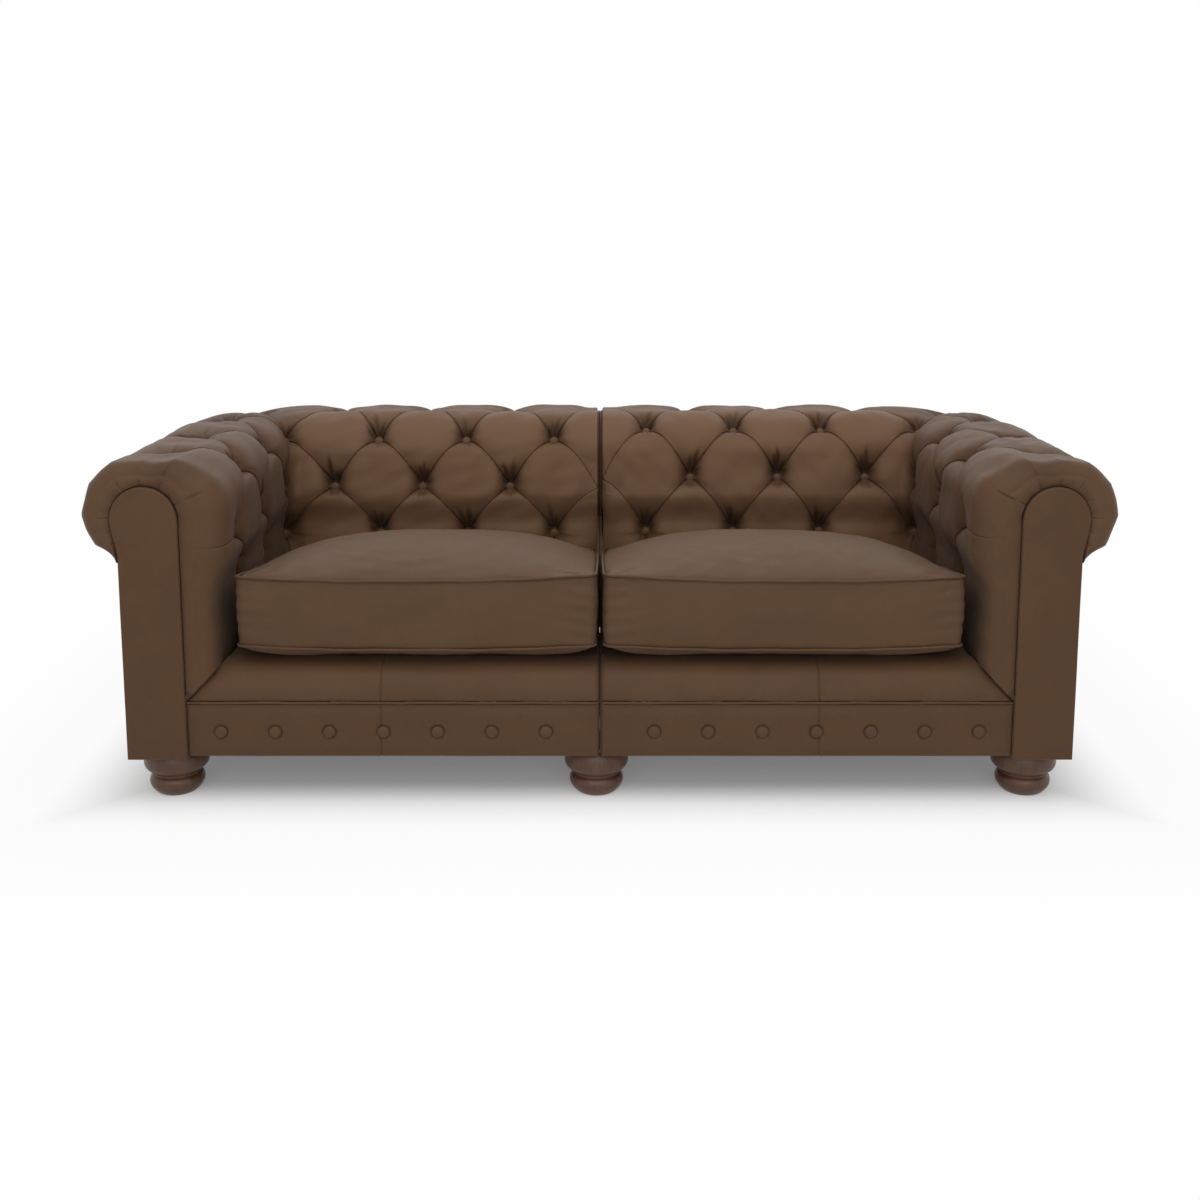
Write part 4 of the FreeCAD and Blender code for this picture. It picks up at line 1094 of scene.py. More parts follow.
def facing_shape(seed):
    stem = lines(FACING_HEM, ARCH_Z, 9.0, 10.0)
    turn = np.radians(87 * (1 - (1 - np.linspace(0, 1, 26)[1:]) ** 1.7))
    rows = np.arange(len(stem) + len(turn))
    z = np.concatenate([stem, ARCH_Z + FACING_R * np.sin(turn)])
    low, high = facing_width(stem)
    low = np.concatenate([low, ARCH_O - 70.5 * np.cos(turn)])
    high = np.concatenate([high, ARCH_O + FACING_R * np.cos(turn)])
    across = lines(0.0, 129.0, 8.0, 11.0) / 129

    def spot(u, v):
        n = np.rint(v).astype(int)
        return low[n] + (high[n] - low[n]) * u, z[n], low[n], high[n]

    def lay(u, v):
        o, height, _, _ = spot(u, v)
        return np.column_stack([-INNER_X - o, FRONT + 0 * o, height]), np.array([[0.0, -1.0, 0.0]])

    def lift(u, v):
        o, height, inner, outer = spot(u, v)
        round_arch = FACING_R - np.hypot(o - ARCH_O, height - ARCH_Z)
        edge = np.minimum(np.minimum(o - inner, outer - o), height - FACING_HEM)
        edge = np.where(height > ARCH_Z, np.minimum(edge, round_arch), edge)
        dome = 3.0 * smooth(edge / 55)
        return dome - rounded(np.maximum(edge, 0.0), 4.5) + 1.5 + unevenness(o, height, seed, 0.5)

    return panel(across, rows, lay, lift, FACING_T - 1, flip=True)


def border_places():
    return [-BORDER_BUTTON_PITCH * n for n in range(1, 8)]


def border_shape(seed):
    def lay(u, v):
        return np.column_stack([u, BORDER_Y + 0 * u, v]), np.array([[0.0, -1.0, 0.0]])

    def lift(u, v):
        ends = np.minimum(u - BORDER_LEFT, -END_X - u)
        edge = np.minimum(ends, np.minimum(v - HEM_Z, BORDER_TOP - v))
        rise = 2.6 * smooth(edge / 26) - rounded(edge, 4.5) + unevenness(u, v, seed, 0.7)
        rise -= 2.0 * gauss((u + SEAM_X) / 1.7) - 0.7 * gauss((np.abs(u + SEAM_X) - 5) / 3.0)
        rise -= 0.8 * gauss((v - STITCH_LOW) / 1.3) + 0.8 * gauss((v - STITCH_HIGH) / 1.3)
        for x in border_places():
            far = np.hypot(u - x, v - BORDER_BUTTON_Z)
            turn = np.arctan2(v - BORDER_BUTTON_Z, u - x)
            rise -= 3.4 * gauss(far / 15) + 2.0 * gauss((far - 14) / 2.6)
            rise -= 0.6 * gauss((far - 21) / 8) * np.cos(6 * turn + x)
        return rise

    close = np.arange(-21.0, 21.1, 1.25)
    fine = list(np.arange(-SEAM_X - 9, -SEAM_X + 9.1, 1.0))
    fine += [x + step for x in border_places() for step in close]
    us = lines(BORDER_LEFT, -END_X, 4.0, 9.0, fine)
    vs = lines(HEM_Z, BORDER_TOP, 3.2, 7.0, BORDER_BUTTON_Z + close)
    points, faces = panel(us, vs, lay, lift, 5.0)
    # painted shadow: each button stands in a dark ring where the leather dives in round it
    x, _, z = points.T
    far = np.min([np.hypot(x - at, z - BORDER_BUTTON_Z) for at in border_places()], axis=0)
    return points, faces, 1 - 0.85 * gauss((far - 14.2) / 1.9)


DECK_ARC = ((0.0, 0.0), (0.29, 0.71), (1.0, 1.0))


def deck_curve():
    """Centre, radius and end angles of the arc of the deck's front roll, in y and z."""
    rise = DECK_TOP - ROLL_BOTTOM
    a, b, c = [
        np.array([BORDER_Y + DECK_ROLL * p, ROLL_BOTTOM + rise * q]) for p, q in DECK_ARC
    ]
    turn = np.array([b - a, c - a])
    half = np.array([(b @ b - a @ a) / 2, (c @ c - a @ a) / 2])
    centre = np.linalg.solve(turn, half)
    radius = float(np.linalg.norm(a - centre))
    start = math.atan2(a[1] - centre[1], a[0] - centre[0])
    end = math.atan2(c[1] - centre[1], c[0] - centre[0])
    return centre, radius, start % (2 * math.pi), end % (2 * math.pi)


def deck_roll_shape(seed):
    centre, radius, start, end = deck_curve()
    first = -INNER_X - TUCK_IN + 11
    before = np.linspace(-1, 0, 24)[:-1] ** 3 * 0.7 + np.linspace(-1, 0, 24)[:-1] * 0.3
    after = lines(first, -PAD_END_X, 5.0, 14.0, np.arange(-SEAM_X - 9, -SEAM_X + 9.1, 1.0))
    us = np.concatenate([before, after + 2000])

    def spot(u, v):
        y, z = centre[0] + radius * np.cos(v), centre[1] + radius * np.sin(v)
        slant = BORDER_LEFT + (z - ROLL_BOTTOM) + 0.6 - 6.0 * smooth((z - ROLL_BOTTOM) / 40)
        x = np.where(u <= 0, first + (slant - first) * -u, u - 2000)
        return np.where(u > 0, np.maximum(x, slant + 0.01), x), y, z, slant

    def lay(u, v):
        x, y, z, _ = spot(u, v)
        return np.column_stack([x, y, z]), np.column_stack([0 * v, np.cos(v), np.sin(v)])

    def lift(u, v):
        x, _, _, slant = spot(u, v)
        run = radius * (start - v)
        rise = unevenness(x, run, seed, 1.6) - 0.8 * rounded((x - slant) / math.sqrt(2), 4.0)
        rise -= rounded(-PAD_END_X - x, 12.0) + rounded(run, 3.5)
        rise -= 2.2 * gauss((x + SEAM_X) / 1.8) - 0.8 * gauss((np.abs(x + SEAM_X) - 5.5) / 3.2)
        return rise + 0.5 * np.exp(-run / 9) * np.sin(x / 3.1 + 2 * np.sin(x / 40))

    vs = start + (end - start) * lines(0.0, 1.0, 0.035, 0.06)
    return panel(us, vs, lay, lift, 4.0, close=False)


def deck_pad_shape(seed):
    x0, x1 = -INNER_X - TUCK_IN + 9, -HIDDEN_END_X
    y0, y1 = BORDER_Y + DECK_ROLL + 0.5, INNER_Y - 8

    def lay(u, v):
        return np.column_stack([u, v, DECK_TOP + 0 * u]), np.array([[0.0, 0.0, 1.0]])

    def lift(u, v):
        edge = np.minimum(np.minimum(u - x0, x1 - u), np.minimum(v - y0, y1 - v))
        return -rounded(edge, 4.0) - 0.4 + unevenness(u, v, seed, 0.35) * 0.8

    return panel(lines(x0, x1, 14.0, 6.0), lines(y0, y1, 14.0, 6.0), lay, lift, 66.0)


def outside_shape(part, seed):
    """The outside cover of the arm or the back, with its half of the corner's curve."""
    bend = PANEL_O + CORNER_R
    quarter = bend * math.pi / 4
    if part == "arm":
        straight = CORNER_Y - (FRONT + FACING_T + 1)
    else:
        straight = CORNER_X - END_X

    def lay(u, v):
        """u runs from the straight part's far end to the seam in the middle of the corner."""
        turn = np.clip((u - straight) / bend, 0.0, math.pi / 4)
        flat = u < straight
        if part == "arm":
            x = np.where(flat, -CORNER_X - bend, -CORNER_X - bend * np.cos(turn))
            y = np.where(flat, CORNER_Y - straight + u, CORNER_Y + bend * np.sin(turn))
            normal = np.column_stack([-np.cos(turn), np.sin(turn), 0 * u])
        else:
            x = np.where(flat, -CORNER_X + straight - u, -CORNER_X - bend * np.sin(turn))
            y = np.where(flat, CORNER_Y + bend, CORNER_Y + bend * np.cos(turn))
            normal = np.column_stack([-np.sin(turn), np.cos(turn), 0 * u])
        return np.column_stack([x, y, v]), normal

    length = straight + quarter - 0.6

    def lift(u, v):
        edge = np.minimum(np.minimum(u, length - u), np.minimum(v - HEM_Z, COVER_TOP - v))
        puff = 2.4 * smooth(edge / 70) - rounded(edge, 4.0)
        stitched = 0.7 * gauss((v - STITCH_LOW) / 1.3)
        return puff - stitched + unevenness(u, v, seed, 1.1)

    us, vs = lines(0.0, length, 9.0, 8.0), lines(HEM_Z, COVER_TOP, 9.0, 8.0)
    shape = panel(us, vs, lay, lift, 5.0, flip=part == "arm")
    if part == "back":
        return shape
    # a welt stands in the seam in the middle of the corner
    half = math.sqrt(0.5) * (bend + 0.3)
    heights = np.linspace(HEM_Z + 1, COVER_TOP - 1, 60)
    welt = [(-CORNER_X - half, CORNER_Y + half, z) for z in heights]
    return join_shapes([shape, upright_cord(welt, 2.6)])


def upright_cord(path, radius, sides=10):
    """A round cord along points that run upwards."""
    path = np.asarray(path, float)
    turn = np.linspace(0, 2 * math.pi, sides, endpoint=False)
    ring = radius * np.column_stack([np.cos(turn), np.sin(turn), 0 * turn])
    points = (path[:, None] + ring[None]).reshape(-1, 3)
    faces = []
    for i in range(len(path) - 1):
        for j in range(sides):
            a, k = i * sides, (j + 1) % sides
            faces.append((a + j, a + k, a + sides + k, a + sides + j))
    faces.append(tuple(range(sides - 1, -1, -1)))
    last = (len(path) - 1) * sides
    faces.append(tuple(range(last, last + sides)))
    return points, faces


def seam_outline(side):
    """The end of a section, just inside its leather, as places in y and z."""
    row = np.linspace(-1, 3.55, 150)
    points, _ = padding_surface(0 * row, row, side, bpy.context.scene.sofa_sizes)
    inward = seam_turn(row, side)
    back = (points + inward * 7.0)[:, 1:]
    back = back[back[:, 1] > DECK_TOP + 4][::-1]
    centre, radius, start, end = deck_curve()
    turn = np.linspace(end, start, 18)
    front = centre + (radius - 10) * np.column_stack([np.cos(turn), np.sin(turn)])
    ahead, behind = BORDER_Y + 5, INNER_Y + PANEL_O - 5
    corner = [
        (ahead, ROLL_BOTTOM - 4),
        (ahead, COVER_BOTTOM),
        (behind, COVER_BOTTOM),
        (behind, COVER_TOP - 5),
    ]
    return np.vstack([back, front, corner])


def loop_points(outline, step=7.0):
    """A closed outline cut to even steps."""
    closed = np.vstack([outline, outline[:1]])
    run = np.concatenate([[0], np.cumsum(np.linalg.norm(np.diff(closed, axis=0), axis=1))])
    places = np.linspace(0, run[-1], int(run[-1] / step) + 1)[:-1]
    return np.column_stack([np.interp(places, run, closed[:, n]) for n in range(2)])


def side_cord(outline, x, radius, sides=8):
    """A round cord along a closed outline in y and z; x is one number or one for each point."""
    ahead, behind = np.roll(outline, -1, 0), np.roll(outline, 1, 0)
    along = ahead - behind
    along /= np.linalg.norm(along, axis=1)[:, None]
    out = np.column_stack([0 * along[:, 0], along[:, 1], -along[:, 0]])
    path = np.column_stack([x + 0 * along[:, 0], outline])
    turn = np.linspace(0, 2 * math.pi, sides, endpoint=False)
    sideways = np.sin(turn)[None, :, None] * np.array([1.0, 0, 0])
    rings = path[:, None] + radius * (np.cos(turn)[None, :, None] * out[:, None] + sideways)
    faces = []
    count = len(outline)
    for i in range(count):
        a, b = i * sides, (i + 1) % count * sides
        for j in range(sides):
            k = (j + 1) % sides
            faces.append((a + j, a + k, b + k, b + j))
    return rings.reshape(-1, 3), faces


def seam_panel_shape(side):
    """The covered end of a section with a cord on it; the two cords leave no straight gap."""
    outline = loop_points(seam_outline(side))
    count = len(outline)
    inner = np.column_stack([-8.0 + 0 * outline[:, 0], outline])
    outer = inner + np.array([2.6, 0, 0])
    hand = -1 if side == "right" else 1
    step = 0.55 * np.tanh((outline[:, 0] - SEAM_STEP_Y) / 12)
    # along the bottom the cord lies further in, clear of the steel pockets when a section is lifted
    low = smooth((136 - outline[:, 1]) / 12) * smooth((outline[:, 0] - BORDER_Y - 10) / 15)
    points = np.vstack([inner, outer])
    faces = [tuple(range(count - 1, -1, -1)), tuple(range(count, 2 * count))]
    faces += [(n, (n + 1) % count, count + (n + 1) % count, count + n) for n in range(count)]
    cord = side_cord(outline, hand * step - 0.25 - SEAM_CORD_R - CORD_CLEARANCE * low, SEAM_CORD_R)
    return join_shapes([(points, faces), cord])


def dust_cover_shape():
    """The thin cloth stapled under the frame, sagging a little."""
    bend = PANEL_O - 6 + CORNER_R
    straight = np.linspace(FRONT + FACING_T + 2, CORNER_Y, 40)
    curved = CORNER_Y + bend * np.sin(np.linspace(0, math.pi / 2, 22))
    vs = np.unique(np.concatenate([straight, curved]))
    us = np.linspace(0, 1, 61)
    u, v = (g.ravel() for g in np.meshgrid(us, vs, indexing="ij"))
    round_part = np.maximum(0.0, bend**2 - np.maximum(0, v - CORNER_Y) ** 2)
    left = -CORNER_X - np.sqrt(round_part)
    x = left + (-HIDDEN_END_X - left) * u
    z = DUST_CLOTH_Z + 0.5 * np.sin(x / 37) ** 2 + 0.5 * np.sin(v / 29 + x / 90) ** 2
    faces = [tuple(reversed(f)) for f in grid_faces(len(us) - 1, len(vs) - 1)]
    return np.column_stack([x, v, z]), faces


# ---------------------------------------------------------------- seat cushions

CUSHION_FRONT = FRONT + 30.0
CUSHION_DEPTH = 620.0
CUSHION_OUT = 787.0
CUSHION_IN = 7.0
CUSHION_BOTTOM = 348.0
CUSHION_SEAM_Z = 500.0
CUSHION_CORNER = 18.0
TOP_SLOPE = 85.0
BOTTOM_SLOPE = 24.0
CUSHION_X = -(CUSHION_OUT + CUSHION_IN) / 2
CUSHION_Y = CUSHION_FRONT + CUSHION_DEPTH / 2
CUSHION_HALF_X = (CUSHION_OUT - CUSHION_IN) / 2
CUSHION_HALF_Y = CUSHION_DEPTH / 2


def cushion_plan(a, b):
    """Places in plan for -1 to 1 across and back: rounded corners, sides drawn in at them."""
    half_x = CUSHION_HALF_X - 3.0 * b * b
    half_y = CUSHION_HALF_Y - 2.0 * a**4
    x, y = np.abs(a) * half_x, np.abs(b) * half_y
    r = CUSHION_CORNER
    p, q = (x - half_x + r) / r, (y - half_y + r) / r
    both = (p > 0) & (q > 0)
    x = np.where(both, half_x - r + r * p * np.sqrt(np.maximum(0, 1 - q * q / 2)), x)
    y = np.where(both, half_y - r + r * q * np.sqrt(np.maximum(0, 1 - p * p / 2)), y)
    return CUSHION_X + np.sign(a) * x, CUSHION_Y + np.sign(b) * y


def seam_height(a, b, top):
    """Height of the piped edges: they slope back, the front's middle dips, its corners lift."""
    front = smooth((0.2 - b) / 1.2)
    back = (b + 1) / 2
    if top:
        dip = front * (-6.0 + 11.0 * a * a + 2.0 * a)
        return CUSHION_SEAM_Z - TOP_SLOPE * back - 7.0 * back * (1 - a) + dip
    return CUSHION_BOTTOM - BOTTOM_SLOPE * back + front * (-5.0 + 8.0 * a * a)


def cushion_form(sizes):
    """The sewn cover before it is filled out: a closed grid over top, sides and bottom."""
    crown = sizes.cushion_crown * 1000 - 8
    n = 48
    t = np.sin(np.linspace(-1, 1, n + 1) * math.pi / 2) * 0.35 + np.linspace(-1, 1, n + 1) * 0.65
    a, b = (g.ravel() for g in np.meshgrid(t, t, indexing="ij"))
    x, y = cushion_plan(a, b)
    dome = (1 - np.abs(a) ** 2.7) ** 0.8 * (1 - np.abs(b) ** 2.1) ** 0.75
    top = np.column_stack([x, y, seam_height(a, b, True) + crown * dome])
    edge = seam_height(a, b, False)
    sag = (1 - np.abs(a) ** 12) ** 0.7 * (1 - np.abs(b) ** 18) ** 0.6
    sag = (edge - DECK_TOP - 6) * sag
    bottom = np.column_stack([x, y, edge - sag])
    faces = grid_faces(n, n)
    size = n + 1
    loop = [i * size for i in range(n)] + [n * size + j for j in range(n)]
    loop += [i * size + n for i in range(n, 0, -1)] + list(range(n, 0, -1))
    loop = np.array(loop)
    points = [top]
    count = len(top)
    rings = [loop]
    for level in (0.86, 0.7, 0.5, 0.3, 0.14):
        band = top[loop] * level + bottom[loop] * (1 - level)
        out = top[loop][:, :2] - np.array([CUSHION_X, CUSHION_Y])
        out /= np.linalg.norm(out, axis=1)[:, None]
        band[:, :2] += out * 3.0 * math.sin(math.pi * level)
        points.append(band)
        rings.append(np.arange(count, count + len(loop)))
        count += len(loop)
    points.append(bottom)
    rings.append(loop + count)
    faces += [tuple(reversed([count + k for k in f])) for f in grid_faces(n, n)]
    for upper, lower in zip(rings, rings[1:]):
        for k in range(len(loop)):
            m = (k + 1) % len(loop)
            faces.append((upper[k], lower[k], lower[m], upper[m]))
    return np.vstack(points), faces


def piping_path(top, out=0.9, count=480):
    """A loop of points along a piped edge."""
    turn = np.linspace(0, 4, count, endpoint=False)
    leg, t = np.floor(turn).astype(int), (turn % 1) * 2 - 1
    a = np.choose(leg, [t, 1 + 0 * t, -t, -1 + 0 * t])
    b = np.choose(leg, [-1 + 0 * t, t, 1 + 0 * t, -t])
    x, y = cushion_plan(a, b)
    path = np.column_stack([x, y])
    along = np.roll(path, -1, 0) - np.roll(path, 1, 0)
    along /= np.linalg.norm(along, axis=1)[:, None]
    path += np.column_stack([along[:, 1], -along[:, 0]]) * out
    run = np.linspace(0, 2 * math.pi, count, endpoint=False)
    z = seam_height(a, b, top) + 0.7 * np.sin(9 * run + 1.0) + 0.5 * np.sin(23 * run)
    return np.column_stack([path, z + (out if top else -out)])


def filled_out(piece, seams, most, frames=20):
    """Cloth under pressure, sewn fast along the seams; no point moves further than most."""
    scene = bpy.context.scene
    mesh = piece.data
    before = mesh_points(mesh)
    from_seam = distance_to(before, seams)
    group = piece.vertex_groups.new(name="seams")
    for n in np.flatnonzero(from_seam < 0.0075):
        group.add([int(n)], 1.0, "REPLACE")
    cloth = piece.modifiers.new("filling", "CLOTH")
    settings = cloth.settings
    settings.quality = 4
    settings.mass = 0.3
    settings.tension_stiffness = settings.compression_stiffness = 12.0
    settings.shear_stiffness = 4.0
    settings.bending_stiffness = 0.4
    settings.use_pressure = True
    settings.uniform_pressure_force = 4.0
    settings.effector_weights.gravity = 0.0
    settings.vertex_group_mass = "seams"
    cloth.point_cache.frame_start, cloth.point_cache.frame_end = 1, frames
    for number in range(1, frames + 1):
        scene.frame_set(number)
    filled = bpy.data.meshes.new_from_object(
        piece.evaluated_get(bpy.context.evaluated_depsgraph_get())
    )
    after = mesh_points(filled)
    piece.modifiers.clear()
    piece.vertex_groups.clear()
    scene.frame_set(1)
    bpy.data.meshes.remove(filled)
    moved = after - before
    far = np.linalg.norm(moved, axis=1)
    share = np.minimum(1.0, most / np.maximum(far, 1e-9))
    mesh.vertices.foreach_set("co", (before + moved * share[:, None]).ravel())
    mesh.update()


def mesh_points(mesh):
    points = np.empty(len(mesh.vertices) * 3)
    mesh.vertices.foreach_get("co", points)
    return points.reshape(-1, 3)


def distance_to(points, places):
    """Each point's distance to the nearest of the places."""
    tree = KDTree(len(places))
    for n, place in enumerate(places):
        tree.insert(place, n)
    tree.balance()
    return np.array([tree.find(p)[2] for p in points])


def apply_modifiers(piece):
    done = bpy.data.meshes.new_from_object(
        piece.evaluated_get(bpy.context.evaluated_depsgraph_get())
    )
    old = piece.data
    piece.modifiers.clear()
    piece.data = done
    bpy.data.meshes.remove(old)


def make_cushion(side, sizes):
    points, faces = cushion_form(sizes)
    piece = make_piece(f"{side}_seat_cushion", side, points, faces, "cushion_leather")
    remesh = piece.modifiers.new("even_mesh", "REMESH")
    remesh.mode = "VOXEL"
    remesh.voxel_size = 0.0072
    apply_modifiers(piece)
    hand = -1 if side == "right" else 1
    seams = np.vstack([piping_path(True, 0.0), piping_path(False, 0.0)]) * MM * (hand, 1, 1)
    filled_out(piece, seams, 0.013)
    finer = piece.modifiers.new("finer", "SUBSURF")
    finer.levels = finer.render_levels = 1
    apply_modifiers(piece)
    mesh = piece.data
    place = mesh_points(mesh) / MM * (hand, 1, 1)
    from_seam = distance_to(place * MM * (hand, 1, 1), seams) / MM
    normals = np.empty(len(mesh.vertices) * 3)
    mesh.vertices.foreach_get("normal", normals)
    normals = normals.reshape(-1, 3) * (hand, 1, 1)
    seed = 31 if side == "left" else 47
    x, y, z = place.T
    lift = unevenness(x, y + 1.7 * z, seed, 1.5)
    # the seam gathers the leather and draws it in
    lift += 0.55 * np.exp(-from_seam / 10) * np.sin((x + y + z) / 2.1 + 2 * np.sin((x - y) / 60))
    lift -= 2.2 * np.exp(-from_seam / 3.2)
    # long soft rolls run along the edges of the crown
    across = (x - CUSHION_X) / CUSHION_HALF_X
    back = (y - CUSHION_Y) / CUSHION_HALF_Y
    rim = np.sqrt(across**2 + back**2)
    on_top = (z > 440) * smooth((from_seam - 12) / 30)
    patchy = 0.5 + 0.5 * np.sin(5 * across + 4 * back + seed)
    long_rolls = np.sin(rim * 17 + 3 * np.sin(3 * across + back)) * smooth((rim - 0.4) / 0.3)
    lift += 0.5 * long_rolls * on_top * patchy
    short_rolls = np.sin(rim * 43 + 2.0 * across + seed) * gauss((rim - 0.85) / 0.2)
    lift += 0.4 * short_rolls * on_top * patchy
    # creases fan out from the corners
    for a in (-1, 1):
        for b in (-1, 1):
            cx = CUSHION_X + a * (CUSHION_HALF_X - 16)
            cy = CUSHION_Y + b * (CUSHION_HALF_Y - 14)
            flat = np.hypot(x - cx, y - cy)
            turn = np.arctan2(y - cy, x - cx)
            rays = np.cos(9 * turn + seed + a) + 0.6 * np.cos(16 * turn + b)
            lift += 1.1 * gauss((flat - 40) / 40) * rays * (z > 470)
            lift += 0.9 * gauss(flat / 55) * np.sin(z / 4.6 + 0.03 * x + a) * (z < 500) * (z > 345)
    place += normals * lift[:, None]
    place[:, 2] = np.maximum(place[:, 2], DECK_TOP + 0.4)
    mesh.vertices.foreach_set("co", (place * MM * (hand, 1, 1)).ravel())
    mesh.shade_smooth()
    # painted shade: the crown attribute falls to 0.25 at the piped seams, darkening the leather
    # along them
    crown_and_painted_shade = mesh.attributes.get("crown") or mesh.attributes.new("crown", "FLOAT", "POINT")
    crown_and_painted_shade.data.foreach_set("value", np.clip(0.85 - 0.6 * np.exp(-from_seam / 5), 0, 1))
    mesh.update()
    return piece


# ---------------------------------------------------------------- feet

# Radius and height, from the floor up: lower ring, neck, bead, neck, upper ring
FOOT_PROFILE = (
    (0.0, 0.0), (38.0, 0.0), (42.5, 0.8), (45.5, 3.0), (50.5, 8.0), (55.5, 14.5),
    (58.6, 21.0), (59.6, 27.0), (59.2, 32.0), (57.6, 36.6), (55.2, 40.0), (53.2, 41.6),
    (51.6, 42.4), (51.0, 43.4), (52.0, 44.6), (54.2, 45.8), (55.2, 47.2), (55.0, 48.6),
    (53.6, 49.6), (53.0, 50.4), (54.2, 51.4), (57.6, 52.6), (61.4, 54.6), (65.6, 58.0),
    (68.8, 62.6), (70.6, 68.0), (70.9, 74.0), (70.2, 81.0), (68.6, 88.0), (66.4, 94.0),
    (64.0, 99.0), (62.0, 102.6), (60.6, 104.4), (59.6, 106.0), (57.6, 107.6), (54.0, 108.0),
    (0.0, 108.0),
)


def feet_shape(places):
    points, faces = lathe(FOOT_PROFILE, 72)
    return join_shapes([(points + np.array([x, y, 0.0]), faces) for x, y in places])


# ---------------------------------------------------------------- operators


# Name, place, size, power and aim
LAMPS = (
    ("overhead", (0.0, -1.6, 3.1), (5.6, 2.6), 60.0, (0.0, 0.1, 0.3)),
    ("rear_top", (0.0, 1.7, 2.7), (4.4, 1.4), 20.0, (0.0, 0.0, 0.5)),
    ("front_fill", (0.0, -5.2, 2.1), (5.0, 2.4), 58.0, (0.0, 0.0, 0.4)),
)
CAMERA_PLACE = (0.0, -3.3825, 1.2803)
CAMERA_TILT = 0.1498
FLOOR_RINGS = (0.0, 0.6, 1.2, 1.8, 2.4, 3.2, 4.5, 7.0, 12.0)
FLOOR_SEGMENTS = 64


def backdrop_rays(tree):
    """1 where the white surroundings are seen, directly or in gloss or glass, and 0 elsewhere."""
    rays = add_node(tree, "ShaderNodeLightPath").outputs
    seen = math_node(tree, "MAXIMUM", rays["Is Camera Ray"], rays["Is Glossy Ray"])
    return math_node(tree, "MAXIMUM", seen, rays["Is Transmission Ray"])


class SOFA_OT_stage(bpy.types.Operator):
    """Camera, floor, soft lamps and white surroundings"""

    bl_idname = "sofa.stage"
    bl_label = "Stage"

    def execute(self, context):
        scene = context.scene
        scene.view_settings.view_transform = "Standard"
        view = bpy.data.cameras.new("front_view")
        view.lens = 42.14
        view.sensor_width = 36.0
        view.shift_y = -0.1478
        view.clip_end = 100.0
        camera = bpy.data.objects.new("front_view", view)
        camera.location = CAMERA_PLACE
        camera.rotation_euler = (math.pi / 2 - CAMERA_TILT, 0.0, 0.0)
        scene.collection.objects.link(camera)
        scene.camera = camera
        for lamp in LAMPS:
            self.lamp(scene, *lamp)
        self.surroundings(scene)
        self.floor(scene)
        return {"FINISHED"}

    def lamp(self, scene, name, place, size, power, target):
        light = bpy.data.lights.new(name, "AREA")
        light.shape = "RECTANGLE"
        light.size, light.size_y = size
        light.energy = power
        lamp = bpy.data.objects.new(name, light)
        lamp.location = place
        aim = Vector(target) - Vector(place)
        lamp.rotation_euler = aim.to_track_quat("-Z", "Y").to_euler()
        scene.collection.objects.link(lamp)

    def surroundings(self, scene):
        world = bpy.data.worlds.new("white_room")
        scene.world = world
        world.use_nodes = True
        tree = world.node_tree
        tree.nodes.clear()
        strength = add_node(
            tree, "ShaderNodeMapRange", {"Value": backdrop_rays(tree), "To Min": 0.2, "To Max": 1.0}
        ).outputs["Result"]
        glow = add_node(tree, "ShaderNodeBackground", {"Color": (1, 1, 1, 1), "Strength": strength})
        end = add_node(tree, "ShaderNodeOutputWorld")
        tree.links.new(glow.outputs[0], end.inputs["Surface"])

    def floor(self, scene):
        sides = FLOOR_SEGMENTS
        turn = np.linspace(0, 2 * math.pi, sides, endpoint=False)
        points = [(0.0, 0.0, 0.0)]
        points += [(r * math.cos(a), r * math.sin(a), 0.0) for r in FLOOR_RINGS[1:] for a in turn]
        faces = [(0, 1 + j, 1 + (j + 1) % sides) for j in range(sides)]
        for i in range(len(FLOOR_RINGS) - 2):
            for j in range(sides):
                a, k = 1 + i * sides, (j + 1) % sides
                faces.append((a + j, a + sides + j, a + sides + k, a + k))
        mesh = bpy.data.meshes.new("floor")
        mesh.from_pydata(points, [], faces)
        floor = bpy.data.objects.new("floor", mesh)
        scene.collection.objects.link(floor)
        paper, tree, shader, place = new_material("pale_floor", Roughness=0.9)
        shader.inputs["Specular IOR Level"].default_value = 0.1
        speck = noise(tree, place, 3.0, 3.0)
        pale = mixed(tree, speck, (0.93, 0.93, 0.93, 1), (0.96, 0.96, 0.96, 1))
        tree.links.new(pale, shader.inputs["Base Color"])
        # away from the sofa the floor fades into the white surroundings
        wide = add_node(tree, "ShaderNodeVectorMath", {0: place}, operation="ABSOLUTE").outputs[0]
        wide = add_node(tree, "ShaderNodeSeparateXYZ", {0: wide}).outputs
        beside = math_node(tree, "SUBTRACT", wide["X"], 1.1)
        before = math_node(tree, "SUBTRACT", wide["Y"], -FRONT * MM)
        far = math_node(tree, "MAXIMUM", beside, before)
        near_part = ramp(tree, far, -0.16, 0.14, 0.15, 0.94)
        fade = math_node(tree, "ADD", near_part, ramp(tree, far, 0.14, 0.7, 0.0, 0.06))
        share = math_node(tree, "MULTIPLY", fade, backdrop_rays(tree))
        white = add_node(tree, "ShaderNodeEmission", {"Color": (1, 1, 1, 1), "Strength": 1.0})
        layers = {0: share, 1: shader.outputs[0], 2: white.outputs[0]}
        blend = add_node(tree, "ShaderNodeMixShader", layers)
        end = next(n for n in tree.nodes if n.type == "OUTPUT_MATERIAL")
        tree.links.new(blend.outputs[0], end.inputs["Surface"])
        mesh.materials.append(paper)


